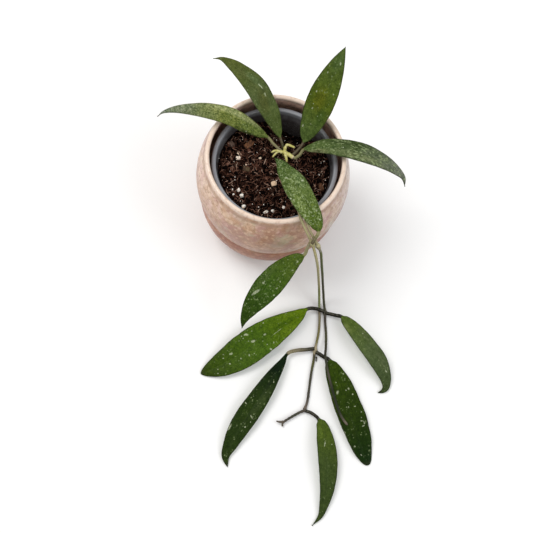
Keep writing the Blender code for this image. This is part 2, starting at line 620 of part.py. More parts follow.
def soil_and_grains():
    clods = soil_clods()
    soil = soil_body(clods)
    cutters = []
    for slot, grains, block in (("perlite", PERLITE, False), ("bark", BARK, True)):
        for k, (place, half_sizes, turn) in enumerate(grains):
            number = "%02d" % (k + 1)
            grain(slot + "_" + number, place, half_sizes, turn, clods, slot, 0.0, 40 + k, block)
            cutters.append(grain(slot + "_socket_" + number, place, half_sizes, turn, clods, slot,
                                 GAP + 0.15, 40 + k, block))
    for label, route in (("pale", PALE_STEM["route"]), ("dark", DARK_STEM["route"])):
        sunk = [(route[0][0], route[0][1], route[0][2] - GAP), *route[1:]]
        cutters.append(stem("hole_cutter_" + label, sunk, [], "soil", GAP, HOLE_STATIONS))
    cutters.append(crown_stalk("hole_cutter_crown", "soil", GAP))
    cut_away(soil, cutters)


def crown_stalk(name, slot, extra=0.0):
    """The short main stem that the crown's leaves and side shoots grow from."""
    route = np.array([(10.2, 13.0, ROOTED_DEPTH - extra), (10.2, 12.9, 66.0), (10.2, 12.8, 74.0),
                      (10.2, 12.7, 80.0), (10.2, 12.6, 85.0 + extra)])
    radii = [r + extra for r in (1.7, 1.8, CROWN_RADIUS, CROWN_RADIUS, CROWN_RADIUS - 0.5)]
    return tube(name, route, radii, 8, slot)


def stems():
    crown = crown_stalk("crown_stem", "crown_shoot")
    arms = [side_shoot("crown_arm_%d" % k, arm, "crown_shoot") for k, arm in enumerate(CROWN_ARMS)]
    joined(crown, arms)
    stem("stem_pale", PALE_STEM["route"], PALE_STEM["nodes"], "stem_pale")
    stem("stem_dark", DARK_STEM["route"], DARK_STEM["nodes"], "stem_dark")
    shoot = side_shoot("end_shoot", END_SHOOT[0], "stem_dark")
    joined(shoot, [side_shoot("end_bud_%d" % k, arm, "stem_dark") for k, arm in enumerate(END_SHOOT[1:])])
    side_shoot("side_bud", SIDE_BUD, "stem_dark")


def build():
    clear_scene()
    cachepot()
    nursery_pot()
    soil_and_grains()
    stems()
    for name, leaf in LEAVES.items():
        leaf_solid(name, leaf)


build()
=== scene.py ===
"""Finish and fine shapes of the potted Hoya scortechinii, laid out as a Blender add-on and run as a script.

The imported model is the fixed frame. Each piece here stands for one or more of its nodes, at the same
place and size: the glazed cachepot, the nursery pot, the soil with its crumbs, fibres and grains, the
stems and the leaves.
Lengths in the lists below are in millimetres, and Blender's own units are metres.
"""

import math
import random

import bmesh
import bpy
import numpy as np
from bpy.props import FloatProperty, FloatVectorProperty, IntProperty, PointerProperty
from mathutils import Matrix, Vector, noise
from mathutils.kdtree import KDTree


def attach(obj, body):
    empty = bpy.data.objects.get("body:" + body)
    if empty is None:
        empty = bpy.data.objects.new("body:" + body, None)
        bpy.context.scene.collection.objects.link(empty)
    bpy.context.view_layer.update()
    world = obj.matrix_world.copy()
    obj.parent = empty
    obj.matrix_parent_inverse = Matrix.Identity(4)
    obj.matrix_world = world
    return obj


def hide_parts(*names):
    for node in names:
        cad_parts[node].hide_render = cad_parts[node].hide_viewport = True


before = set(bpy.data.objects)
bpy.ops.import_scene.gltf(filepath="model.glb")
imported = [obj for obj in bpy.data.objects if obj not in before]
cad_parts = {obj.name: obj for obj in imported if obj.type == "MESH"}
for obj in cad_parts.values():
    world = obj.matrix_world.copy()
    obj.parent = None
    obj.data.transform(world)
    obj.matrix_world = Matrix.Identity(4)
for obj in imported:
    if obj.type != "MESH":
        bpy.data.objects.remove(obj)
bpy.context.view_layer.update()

bl_info = {
    "name": "Potted Hoya scortechinii",
    "version": (1, 0, 0),
    "blender": (4, 5, 0),
    "location": "View3D > Sidebar > Hoya",
    "description": "Builds a young trailing hoya in a nursery pot, stood in a glazed cachepot",
    "category": "Add Mesh",
}

MM = 0.001
BODY = "root"

# Cachepot, as turned in the source
POT_HEIGHT = 105.0
FOOT_RADIUS = 43.0
FOOT_BEVEL = 1.5
CREASE_HEIGHT = 47.6
CREASE_RADIUS = 59.0
CREASE_STEP = 1.3
LOWER_BULGE = 6.5
BELLY_BULGE = 4.4
LIP_OUTER = 55.0
LIP_INNER = 51.4
WALL = 4.2
POT_FLOOR = 6.0

# Nursery pot
NURSERY_FLOOR = POT_FLOOR + 0.3
NURSERY_RIM = 93.5
NURSERY_RIM_OUTER = 50.0
NURSERY_RIM_INNER = 46.6
NURSERY_FOOT = 36.0
NURSERY_NECK = 46.4
NURSERY_WALL = 1.2
COLLAR_DEPTH = 10.5
DRAIN_HOLE = 3.6
DRAIN_HOLES = 6
DRAIN_CIRCLE = 22.0

# Soil
SOIL_LEVEL = 83.5
SOIL_HOLLOWS = [((21.0, 38.0), 16.0, 19.0), ((10.0, 13.0), 4.5, 10.0)]    # place, depth and reach
SOIL_EDGE_PROBE = 44.0    # radius at which the height of the soil's edge is taken
CLODS = 34
SOIL_SEED = 11
LITTER_SEED = 21
SOIL_SIDES = 400
SOIL_RINGS = 105
HOLLOW_SHADE_HEIGHTS = (82.5, 74.0)     # heights between which painted shade darkens the soil in its hollow
COARSE_CRUMB = 4.2        # width of the larger crumbs in the soil's surface
FINE_CRUMB = 1.6
ROOTED_HEIGHT = 58.0      # where the stems end inside the soil

# Stems
NODE_REACH = 2.4          # how far along a stem its nodes swell
STEM_CLEARANCE = 0.05     # how high over the floor a stem's lowest points stay

# How finely rounds and routes are cut
POT_SIDES = 192
NURSERY_SIDES = 144
HOLE_SIDES = 24
STEM_SIDES = 16
FIBRE_SIDES = 5
STEM_STEPS = 520
SHOOT_STEPS = 40
LEAF_STEPS = 1500
RULER_STEPS = 200         # for a route that is only measured

# Leaves
STALK_JOINT = 1.4         # how far a stalk runs on into its stem
BLADE_MIDDLE = 1.4        # thickness along the midrib
BLADE_EDGE = 0.55         # thickness at the margins
BLEND_SHARE = 0.05        # share of the blade over which the round stalk flattens
TIP_WIDTH = 0.30          # least half width, at the tip
LEAF_CLEARANCE = 0.15     # how high over the floor a leaf's lowest points stay
SIDE_VEINS = 12
VEIN_SLANT = 1.1          # how far a side vein runs forward as it leaves the midrib
FLECK_FLOW = (1.0, 0.8, 1.0)     # how the flecks are drawn out on most leaves
# Shares of the half width at which a blade has points, closer together at the midrib and the margin
ACROSS = (0.0, 0.045, 0.10, 0.18, 0.28, 0.39, 0.51, 0.63, 0.75, 0.85, 0.925, 0.97, 1.0)

# A leaf has its stalk's route and radius, its midrib's route, its greatest half width, where along the
# blade that is, how round the base is, how drawn out the tip is, its twist at base and tip in degrees,
# and its fold. A positive fold lifts the two margins, and a negative one drops them.
LEAVES = {
    "leaf_crown_left": dict(
        stalk=[(7.1, 15.0, 84.2), (4.2, 17.4, 85.9), (1.2, 20.6, 87.2)],
        rib=[(-1.8, 24.5, 89.0), (-10.5, 26.6, 97.0), (-20.0, 29.2, 105.0), (-32.2, 33.2, 112.5),
             (-45.7, 36.0, 117.0), (-59.9, 38.7, 117.5), (-73.6, 42.2, 113.5), (-83.1, 44.5, 107.0),
             (-88.0, 45.3, 100.0)],
        stalk_radius=1.15, half_width=6.8, widest=0.34, base=0.70, tip=1.2, twist=(20, 34), fold=-0.10),
    "leaf_crown_rear": dict(
        stalk=[(9.7, 16.9, 83.7), (9.0, 20.0, 85.3)],
        rib=[(7.8, 23.8, 88.0), (5.3, 30.1, 94.0), (1.5, 36.5, 103.0), (-4.0, 44.2, 111.5),
             (-9.9, 52.5, 118.5), (-17.4, 61.2, 123.0), (-25.8, 70.3, 124.0), (-33.5, 78.6, 121.5),
             (-40.2, 82.6, 117.0)],
        stalk_radius=1.15, half_width=9.0, widest=0.44, base=0.66, tip=1.15, twist=(0, 0), fold=0.08),
    "leaf_crown_upright": dict(
        stalk=[(16.7, 9.7, 86.3), (19.4, 11.9, 86.5), (22.6, 14.6, 87.0)],
        rib=[(25.5, 17.7, 89.0), (28.6, 22.0, 100.0), (32.2, 26.1, 111.0), (36.0, 31.0, 122.0),
             (39.4, 35.6, 131.0), (44.0, 42.2, 139.0), (49.6, 50.9, 146.0), (56.5, 61.8, 150.0)],
        stalk_radius=1.25, half_width=11.1, widest=0.48, base=0.58, tip=0.92, twist=(0, 0), fold=0.10),
    "leaf_crown_right": dict(
        stalk=[(18.1, 6.9, 85.4), (21.3, 8.4, 86.3)],
        rib=[(24.7, 11.4, 89.0), (31.1, 9.0, 97.5), (39.6, 4.6, 106.5), (48.9, -0.6, 112.5),
             (59.3, -5.8, 115.5), (70.2, -10.8, 115.0), (81.2, -15.2, 111.0), (91.5, -20.1, 104.5),
             (98.4, -24.3, 97.5), (100.3, -28.9, 91.0)],
        stalk_radius=1.25, half_width=7.2, widest=0.46, base=0.50, tip=0.95, twist=(-12, -20), fold=-0.14),
    "leaf_rim_inner": dict(
        stalk=[(18.0, -72.6, 105.0), (20.1, -70.2, 106.5)],
        rib=[(22.9, -66.3, 107.0), (22.3, -59.4, 108.8), (18.5, -49.3, 110.5), (14.1, -38.0, 111.0),
             (9.8, -25.8, 109.5), (5.6, -13.6, 106.0), (2.7, -3.9, 101.5), (-0.3, 2.6, 97.0)],
        stalk_radius=1.3, half_width=9.6, widest=0.46, base=0.50, tip=0.95, twist=(0, 0), fold=0.05),
    "leaf_rim_outer": dict(
        stalk=[(16.1, -72.2, 99.0), (14.6, -74.2, 95.6)],
        rib=[(13.0, -77.0, 91.6), (6.0, -79.7, 88.0), (-2.2, -83.6, 80.0), (-11.4, -89.2, 69.0),
             (-20.4, -94.8, 57.0), (-29.0, -101.9, 45.0), (-35.1, -109.1, 36.0), (-37.7, -115.4, 30.0)],
        stalk_radius=1.3, half_width=10.8, widest=0.45, base=0.58, tip=0.92, twist=(0, 0), fold=0.06),
    "leaf_mid_left": dict(
        stalk=[(35.6, -102.8, 4.9), (33.2, -101.7, 5.6), (29.8, -100.2, 5.8)],
        rib=[(23.1, -99.4, 5.8), (10.2, -106.3, 6.8), (-6.9, -114.5, 7.4), (-24.3, -123.2, 7.0),
             (-40.8, -132.0, 5.5), (-56.7, -139.0, 3.5), (-75.2, -144.3, 1.0)],
        stalk_radius=1.6, half_width=14.4, widest=0.56, base=0.74, tip=0.62, twist=(0, 0), fold=0.08),
    "leaf_mid_right": dict(
        stalk=[(39.4, -104.8, 3.2), (43.0, -106.4, 4.6), (46.6, -108.0, 5.4)],
        rib=[(50.4, -109.4, 6.0), (55.6, -117.0, 8.5), (62.1, -128.0, 11.0), (68.4, -139.4, 12.0),
             (74.5, -150.9, 10.5), (79.0, -161.9, 7.0), (80.5, -168.8, 4.4), (79.8, -174.2, 2.4),
             (76.8, -176.8, 1.5), (72.6, -177.6, 1.0)],
        stalk_radius=1.6, half_width=8.2, widest=0.50, base=0.42, tip=0.85, twist=(0, 8), fold=0.10),
    "leaf_low_left": dict(
        stalk=[(21.8, -134.3, 2.6), (16.0, -134.6, 4.0), (9.2, -134.4, 4.8)],
        rib=[(0.5, -136.0, 5.5), (-6.6, -144.4, 7.0), (-15.7, -154.9, 7.5), (-26.1, -167.4, 7.0),
             (-35.7, -178.6, 6.0), (-46.2, -190.3, 5.0), (-55.4, -203.1, 3.5), (-61.4, -213.5, 2.2),
             (-60.8, -222.2, 1.0)],
        stalk_radius=1.6, half_width=9.0, widest=0.57, base=0.78, tip=0.80, twist=(0, 0), fold=0.08),
    "leaf_low_right": dict(
        stalk=[(25.8, -138.2, 2.4), (28.2, -140.0, 2.7), (31.1, -142.6, 3.1)],
        rib=[(34.5, -145.0, 3.6), (36.4, -152.5, 4.3), (39.9, -166.0, 4.6), (43.3, -180.0, 4.4),
             (46.4, -193.7, 4.0), (49.1, -207.0, 3.4), (51.2, -220.4, 2.4), (54.3, -235.0, 1.0)],
        stalk_radius=1.6, half_width=11.7, widest=0.50, base=0.44, tip=0.46, twist=(0, 0), fold=0.05),
    "leaf_end": dict(
        stalk=[(9.9, -186.0, 2.5), (12.1, -187.0, 3.0), (15.2, -189.5, 3.8)],
        rib=[(18.0, -192.9, 4.5), (20.5, -200.4, 6.0), (21.1, -211.8, 7.0), (20.9, -224.5, 7.0),
             (19.5, -236.8, 6.0), (17.1, -249.0, 4.6), (13.2, -260.0, 3.0), (9.0, -268.7, 1.6),
             (1.3, -275.2, 0.8)],
        stalk_radius=1.35, half_width=7.8, widest=0.35, base=0.44, tip=1.05, twist=(0, 0), fold=0.08),
}

OLIVE = (0.22, 0.21, 0.095)
TAN = (0.23, 0.20, 0.12)
BROWN = (0.090, 0.070, 0.040)
DEEP_OLIVE = (0.055, 0.060, 0.022)
BLACKISH = (0.016, 0.015, 0.010)

# A leaf's look. blade has the colours at its base, middle and tip, and stalk those at its stalk's two ends.
# speckle, silver, net, dots, rim and tip say how strong the fine mottling, the silver flecks, the dark net,
# the white dots, the dark line round the blade and the dark point are. flow stands where the flecks are
# drawn out in another way than by FLECK_FLOW. A region has its place across and along the blade, its
# length, its width and the turn of its length in degrees, and then its colour and strength. Regions are
# partly the leaf's own tints and partly painted sheen and painted shade. Marks are small and pale, and
# have no colour of their own.
LOOKS = {
    "leaf_crown_left": dict(
        blade=[(0.126, 0.172, 0.038), (0.166, 0.198, 0.043), (0.173, 0.207, 0.170)],
        stalk=(TAN, OLIVE), speckle=0.75, silver=0.35, net=0.7, dots=0.1, rim=0.3, tip=0.9,
        regions=[(4.2, 34.0, 78.0, 7.0, 90, (0.327, 0.358, 0.154), 0.85),
                 (-5.4, 16.0, 46.0, 5.0, 90, (0.004, 0.004, 0.002), 0.8)],
        marks=[]),
    "leaf_crown_rear": dict(
        blade=[(0.085, 0.121, 0.029), (0.071, 0.096, 0.028), (0.077, 0.091, 0.014)],
        stalk=(DEEP_OLIVE, BROWN), speckle=0.35, silver=0.2, net=0.35, dots=0.3, rim=0.35, tip=0.2,
        regions=[(-1.0, 34.0, 30.0, 14.0, 70, (0.073, 0.083, 0.017), 0.7),
                 (3.0, 52.0, 26.0, 8.0, 100, (0.084, 0.124, 0.045), 0.7),
                 (-1.0, 62.0, 16.0, 9.0, 90, (0.078, 0.092, 0.027), 0.6)],
        marks=[(3.2, 38.0, 3.0, 1.0, 80), (3.4, 45.0, 5.0, 0.8, 100)]),
    "leaf_crown_upright": dict(
        blade=[(0.100, 0.155, 0.038), (0.078, 0.114, 0.011), (0.051, 0.082, 0.017)],
        stalk=(BROWN, BROWN), speckle=0.35, silver=0.15, net=0.5, dots=0.3, rim=0.6, tip=0.0,
        regions=[(-1.5, 42.0, 30.0, 15.0, 90, (0.104, 0.120, 0.008), 0.8),
                 (4.5, 28.0, 24.0, 10.0, 90, (0.034, 0.072, 0.012), 0.6),
                 (0.0, 72.0, 22.0, 10.0, 90, (0.052, 0.091, 0.023), 0.6)],
        marks=[(-5.4, 15.0, 2.6, 1.3, 90), (-4.0, 33.0, 1.8, 1.2, 80), (-6.0, 47.0, 1.5, 1.0, 90),
               (-4.0, 63.0, 1.6, 0.9, 90), (2.0, 72.0, 2.6, 1.0, 110)]),
    "leaf_crown_right": dict(
        blade=[(0.083, 0.128, 0.035), (0.047, 0.074, 0.020), (0.168, 0.185, 0.141)],
        stalk=(OLIVE, OLIVE), speckle=0.6, silver=0.75, net=0.35, dots=0.2, rim=0.6, tip=0.9,
        flow=(1.1, 0.42, 1.0),
        regions=[(4.4, 16.0, 34.0, 6.0, 88, (0.255, 0.279, 0.125), 0.9),
                 (3.4, 52.0, 62.0, 8.0, 90, (0.137, 0.169, 0.070), 0.85),
                 (4.0, 17.9, 20.0, 2.4, 82, (0.048, 0.055, 0.021), 0.9),
                 (-4.2, 40.0, 60.0, 6.0, 90, (0.025, 0.041, 0.010), 0.8)],
        marks=[]),
    "leaf_rim_inner": dict(
        blade=[(0.059, 0.096, 0.012), (0.082, 0.123, 0.027), (0.038, 0.073, 0.016)],
        stalk=(BROWN, OLIVE), speckle=0.85, silver=1.0, net=0.3, dots=0.6, rim=0.3, tip=0.2,
        regions=[(-4.0, 24.0, 26.0, 9.0, 90, (0.130, 0.182, 0.046), 0.7),
                 (4.5, 44.0, 26.0, 8.0, 90, (0.122, 0.179, 0.061), 0.7)],
        marks=[(-2.9, 49.6, 2.7, 1.4, -57), (6.5, 42.0, 2.3, 1.5, 9), (-7.1, 30.5, 1.6, 1.2, -71),
               (-8.6, 32.4, 1.2, 1.1, -38), (4.2, 15.6, 1.6, 1.5, -14), (-5.4, 16.0, 1.5, 1.1, -82),
               (3.3, 8.8, 1.2, 1.2, -19)]),
    "leaf_rim_outer": dict(
        blade=[(0.063, 0.104, 0.012), (0.041, 0.089, 0.008), (0.016, 0.036, 0.002)],
        stalk=(TAN, OLIVE), speckle=0.6, silver=0.4, net=0.4, dots=0.6, rim=0.5, tip=0.3,
        regions=[(6.5, 40.0, 50.0, 8.0, 90, (0.063, 0.101, 0.022), 0.8)],
        marks=[(4.0, 54.3, 9.8, 2.2, -104), (4.3, 43.4, 2.5, 1.7, -115), (-4.6, 30.3, 1.4, 1.1, -88),
               (-6.4, 36.6, 1.8, 1.1, -89), (-8.6, 42.5, 1.5, 1.1, -112), (-2.1, 7.7, 1.5, 0.8, -62),
               (-4.9, 14.9, 1.6, 0.9, -124)]),
    "leaf_mid_left": dict(
        blade=[(0.115, 0.196, 0.006), (0.056, 0.114, 0.007), (0.026, 0.047, 0.002)],
        stalk=(BLACKISH, BLACKISH), speckle=0.5, silver=0.2, net=0.35, dots=0.4, rim=0.7, tip=0.3,
        regions=[(-9.0, 20.0, 30.0, 9.0, 75, (0.141, 0.219, 0.016), 0.7),
                 (0.5, 26.0, 46.0, 6.0, 90, (0.031, 0.079, 0.002), 0.6)],
        marks=[(10.1, 58.3, 3.9, 1.8, -124), (2.1, 56.6, 4.1, 1.9, -111), (1.4, 45.2, 2.7, 1.5, -91),
               (-2.4, 34.8, 10.9, 0.5, -85), (10.4, 40.8, 1.7, 1.2, -74), (9.9, 52.8, 1.0, 1.0, -143),
               (-8.6, 42.5, 1.8, 0.9, 142), (-12.4, 47.9, 2.9, 1.6, -158), (3.9, 78.4, 2.8, 1.9, -101),
               (-5.7, 65.9, 2.2, 1.2, 166), (-4.1, 73.0, 1.5, 1.5, -159), (4.0, 86.0, 1.0, 1.0, -134),
               (-3.0, 83.3, 1.4, 1.4, -93), (-5.6, 95.3, 1.3, 1.3, -123)]),
    "leaf_mid_right": dict(
        blade=[(0.077, 0.119, 0.020), (0.069, 0.099, 0.034), (0.033, 0.052, 0.015)],
        stalk=(BLACKISH, BLACKISH), speckle=0.4, silver=0.2, net=0.2, dots=0.15, rim=0.75, tip=0.8,
        regions=[(-4.0, 26.0, 24.0, 7.0, 90, (0.075, 0.096, 0.037), 0.75),
                 (-3.2, 52.0, 30.0, 7.0, 90, (0.073, 0.095, 0.039), 0.7),
                 (4.0, 12.0, 18.0, 7.0, 90, (0.167, 0.209, 0.065), 0.7)],
        marks=[(-2.2, 61.1, 2.4, 0.9, 119), (-3.3, 24.1, 1.2, 0.8, 92)]),
    "leaf_low_left": dict(
        blade=[(0.003, 0.011, 0.002), (0.016, 0.033, 0.004), (0.017, 0.033, 0.005)],
        stalk=(BLACKISH, TAN), speckle=0.55, silver=0.25, net=0.2, dots=0.08, rim=0.8, tip=0.6,
        regions=[(-3.6, 48.0, 46.0, 8.0, 88, (0.035, 0.054, 0.015), 0.8),
                 (2.0, 62.0, 30.0, 8.0, 90, (0.025, 0.046, 0.006), 0.5)],
        marks=[(-3.2, 28.3, 1.6, 0.9, -86), (-3.6, 62.0, 3.5, 0.7, 153), (-5.4, 65.8, 1.1, 0.8, -91),
               (-3.9, 71.8, 1.4, 1.2, -130), (7.1, 78.3, 6.0, 1.8, -91), (6.7, 55.5, 1.9, 0.8, 163)]),
    "leaf_low_right": dict(
        blade=[(0.027, 0.052, 0.002), (0.019, 0.039, 0.002), (0.005, 0.019, 0.002)],
        stalk=(BLACKISH, BLACKISH), speckle=0.55, silver=0.2, net=0.3, dots=0.10, rim=0.85, tip=0.6,
        regions=[(9.6, 30.0, 46.0, 7.0, 88, (0.050, 0.074, 0.012), 0.6),
                 (-6.0, 30.0, 30.0, 8.0, 90, (0.018, 0.035, 0.003), 0.6),
                 (3.0, 60.0, 26.0, 5.0, 90, (0.022, 0.039, 0.003), 0.5)],
        marks=[(4.3, 28.7, 3.6, 2.0, -129), (-6.6, 16.2, 1.2, 1.1, -128), (-5.9, 29.1, 1.6, 1.6, 180),
               (-3.3, 29.6, 0.9, 0.9, 0), (-7.3, 34.7, 1.2, 1.2, 180), (-5.3, 44.4, 1.8, 0.6, 165),
               (10.4, 61.9, 2.3, 1.2, 95), (5.8, 74.9, 1.4, 1.4, 180), (2.8, 82.7, 1.2, 1.2, 0),
               (9.6, 71.6, 0.8, 0.8, 0), (-8.7, 50.4, 0.7, 0.7, 0), (-7.9, 59.2, 3.0, 0.8, 90),
               (-6.3, 61.4, 2.6, 0.7, 10), (-6.2, 57.2, 2.4, 0.7, -10)]),
    "leaf_end": dict(
        blade=[(0.052, 0.083, 0.009), (0.038, 0.062, 0.013), (0.030, 0.050, 0.010)],
        stalk=(BLACKISH, BLACKISH), speckle=0.45, silver=0.1, net=0.25, dots=0.15, rim=0.7, tip=0.9,
        regions=[(3.0, 12.0, 20.0, 5.0, 90, (0.079, 0.122, 0.016), 0.7),
                 (3.5, 40.0, 36.0, 5.0, 90, (0.050, 0.075, 0.016), 0.5)],
        marks=[(1.0, 22.0, 4.0, 1.0, 70)]),
}

# Each stem's route, from its rooted end to its far end, the points where a pair of leaves grows, and the
# colours of its skin by share along the route.
PALE_STEM = dict(
    route=[(13.0, -3.0, ROOTED_HEIGHT), (12.8, -5.0, 70.0), (12.0, -12.0, 84.0), (11.2, -24.0, 95.0),
           (10.8, -38.0, 103.0), (11.4, -53.0, 106.5), (13.3, -61.1, 106.8), (15.6, -67.0, 104.8),
           (18.3, -72.2, 100.5), (19.9, -75.2, 95.5), (22.6, -78.9, 84.0), (25.6, -81.5, 68.0),
           (28.5, -83.2, 49.0), (31.2, -85.6, 30.0), (33.0, -90.3, 13.5), (33.4, -97.2, 3.4),
           (32.8, -104.0, 1.4), (32.0, -110.1, 1.4), (29.5, -121.2, 1.4), (26.3, -129.9, 1.4),
           (24.7, -134.2, 1.4), (23.3, -138.5, 1.4), (21.5, -144.9, 1.4), (18.7, -153.0, 1.4),
           (14.2, -168.5, 1.4), (11.6, -177.5, 1.4), (7.9, -184.9, 1.6)],
    nodes=[(18.3, -72.2, 100.5), (24.2, -135.8, 1.4), (7.9, -184.9, 1.6)],
    skin=[(0.0, (0.27, 0.24, 0.13)), (0.32, (0.30, 0.27, 0.14)), (0.345, (0.46, 0.41, 0.20)),
          (0.40, (0.54, 0.51, 0.28)), (0.56, (0.49, 0.46, 0.26)), (0.62, (0.25, 0.28, 0.095)),
          (0.69, (0.21, 0.25, 0.10)), (0.705, (0.24, 0.20, 0.14)), (0.74, (0.18, 0.155, 0.075)),
          (0.795, (0.14, 0.13, 0.035)), (0.812, (0.34, 0.29, 0.19)), (0.831, (0.30, 0.25, 0.16)),
          (0.838, (0.050, 0.040, 0.022)), (0.865, (0.070, 0.070, 0.014)), (0.89, (0.040, 0.038, 0.020)),
          (0.965, (0.042, 0.036, 0.026)), (0.99, (0.12, 0.095, 0.075)), (1.0, (0.050, 0.038, 0.030))],
)
DARK_STEM = dict(
    route=[(20.0, -5.0, ROOTED_HEIGHT), (19.8, -7.0, 70.0), (18.6, -14.0, 84.0), (17.2, -26.0, 95.0),
           (15.8, -40.0, 103.2), (15.2, -53.0, 106.5), (16.4, -62.1, 106.8), (19.4, -68.7, 103.8),
           (22.9, -73.7, 98.0), (25.4, -76.4, 91.0), (27.2, -78.9, 80.0), (29.4, -80.9, 65.0),
           (31.9, -82.6, 49.0), (34.6, -85.0, 30.0), (36.8, -89.7, 13.5), (37.7, -97.0, 4.0),
           (37.8, -103.6, 2.0), (36.9, -110.6, 1.4), (35.7, -124.2, 1.4), (33.6, -134.6, 3.4),
           (31.6, -142.0, 6.9), (31.6, -156.5, 7.4), (33.4, -173.6, 7.3), (35.4, -187.0, 6.9),
           (38.0, -195.4, 6.5), (41.4, -201.4, 6.2)],
    nodes=[(22.9, -73.7, 98.0), (37.8, -103.6, 2.0)],
    skin=[(0.0, (0.24, 0.21, 0.12)), (0.305, (0.27, 0.24, 0.13)), (0.322, (0.46, 0.42, 0.22)),
          (0.335, (0.27, 0.26, 0.20)), (0.352, (0.12, 0.14, 0.040)), (0.46, (0.095, 0.11, 0.030)),
          (0.54, (0.060, 0.055, 0.022)), (0.66, (0.050, 0.050, 0.024)), (0.674, (0.11, 0.10, 0.080)),
          (0.69, (0.055, 0.042, 0.034)), (0.74, (0.046, 0.044, 0.012)), (0.79, (0.034, 0.028, 0.018)),
          # The pale stop at 0.86 is a painted highlight, a thin line along the dark stem.
          (0.82, (0.018, 0.022, 0.008)), (0.86, (0.060, 0.052, 0.034)), (0.90, (0.010, 0.015, 0.004)),
          (0.955, (0.013, 0.018, 0.006)), (0.975, (0.050, 0.048, 0.030)), (0.991, (0.14, 0.115, 0.085)),
          (1.0, (0.09, 0.075, 0.055))],
)

# The short side shoots, each as its route and its radius at the two ends
CROWN_STALK = dict(route=[(10.2, 13.0, ROOTED_HEIGHT), (10.2, 12.9, 66.0), (10.2, 12.8, 74.0),
                          (10.2, 12.7, 80.0), (10.2, 12.6, 84.6)], radii=(1.8, 2.0))
CROWN_ARMS = [
    dict(route=[(10.2, 13.0, 84.0), (10.6, 15.5, 86.4), (12.4, 17.2, 88.6), (15.7, 15.2, 89.6),
                (18.4, 13.8, 89.2)], radii=(1.5, 0.8)),
    dict(route=[(10.2, 12.8, 84.6), (6.6, 12.7, 86.4), (2.4, 13.4, 87.8), (-1.4, 12.4, 87.2)],
         radii=(1.6, 0.7)),
    dict(route=[(4.6, 12.9, 87.0), (2.2, 11.6, 86.0), (-0.4, 9.3, 84.6)], radii=(1.1, 0.7)),
    dict(route=[(10.2, 12.4, 84.8), (10.3, 9.2, 86.2), (10.7, 3.6, 85.2)], radii=(1.5, 0.8)),
    dict(route=[(10.6, 12.4, 83.6), (13.2, 10.0, 85.2), (16.4, 6.6, 86.0)], radii=(1.9, 1.7)),
]
END_SHOOT = [
    dict(route=[(6.0, -185.6, 1.9), (4.0, -186.0, 2.2), (-2.2, -188.4, 2.4), (-9.1, -191.4, 2.4),
                (-11.4, -192.8, 2.2)], radii=(1.1, 1.0)),
    dict(route=[(-10.6, -192.2, 2.3), (-13.8, -191.8, 2.6), (-16.8, -190.9, 3.0)], radii=(1.1, 0.6)),
    dict(route=[(-10.8, -191.8, 2.3), (-11.8, -193.6, 2.1), (-12.2, -195.8, 2.0)], radii=(1.1, 0.7)),
]
SHOOT_SKIN = [(0.0, (0.060, 0.048, 0.036)), (0.30, (0.034, 0.034, 0.018)), (0.75, (0.038, 0.034, 0.024)),
              (1.0, (0.090, 0.072, 0.052))]
END_KNUCKLE = dict(route=[(9.0, -184.7, 1.75), (7.4, -185.1, 1.8), (5.4, -185.8, 1.9)], radii=(1.5, 1.2))
SIDE_BUD = dict(route=[(24.8, -141.2, 1.3), (24.4, -143.1, 1.2), (23.9, -145.2, 1.1)], radii=(0.65, 0.5))

# Loose grains that lie in the soil, each by its place, its three half sizes and its turn in degrees
PERLITE = [
    ((-28.5, -21.2), (2.0, 1.6, 1.4), 20), ((-30.5, -16.6), (1.6, 1.3, 1.2), 70),
    ((-28.0, 10.9), (2.3, 1.9, 1.5), 10), ((-28.0, -30.2), (1.8, 1.5, 1.2), 45),
    ((-11.5, -36.8), (2.2, 1.3, 1.1), 15), ((-5.9, -36.8), (1.2, 1.4, 1.1), 80),
    ((-2.1, -13.5), (2.5, 2.2, 1.8), 30), ((3.1, -34.1), (1.6, 1.3, 1.1), 55),
]
BARK = [
    ((35.2, -20.0), (3.4, 1.8, 1.2), 100), ((-17.9, 22.1), (4.4, 2.4, 1.4), 35),
    ((-31.5, 24.5), (2.6, 2.0, 1.2), 120), ((-22.5, 1.3), (3.2, 2.1, 1.2), 160),
]
WARM_GRAINS = {3: 0.45, 7: 1.0}      # how far a grain of perlite is stained tan, by its number
BARK_TINTS = [(0.13, 0.054, 0.020), (0.21, 0.090, 0.038), (0.18, 0.12, 0.090), (0.085, 0.058, 0.026)]

# Small grains that can be told apart, each by its place and its radius
WHITE_SPECKS = [
    (-20.6, 26.6, 0.35), (-12.0, 15.0, 0.55), (-15.2, 13.5, 0.60), (-41.1, -3.8, 0.60), (-32.1, -4.7, 0.50),
    (-32.4, -7.2, 0.50), (-35.4, 0.7, 0.40), (-27.3, -7.7, 0.50), (-35.2, -15.5, 0.80), (-34.8, -19.6, 1.10),
    (-30.2, -25.4, 0.80), (0.5, -10.7, 0.70), (-6.5, -17.6, 0.90), (-12.2, -30.3, 0.65), (-16.5, -32.0, 0.65),
    (15.5, 34.7, 0.80), (13.3, 28.5, 0.80), (40.8, 1.8, 0.80), (33.8, 2.5, 0.50), (35.1, -9.5, 0.70),
    (35.1, -14.4, 1.00), (-43.2, 13.0, 0.50), (-6.1, 1.6, 0.50), (-10.7, -5.9, 0.40), (-15.4, -17.6, 0.50),
    (-21.1, -29.1, 0.50), (6.4, -32.2, 0.50), (37.7, -7.0, 0.40), (42.7, -11.8, 0.40), (25.6, -0.9, 0.35),
]
TAN_SPECKS = [(-27.6, 14.7, 1.60), (-10.2, 9.9, 1.50), (-22.2, 4.9, 0.90), (-28.6, -31.3, 1.30)]

GLINT_PLACE = (-33.7, -47.4, 47.6)    # where the light catches the crease of the glaze
PALE_PATCH = (18.0, -58.0, 51.0)      # middle of the pale green patch beside the stems

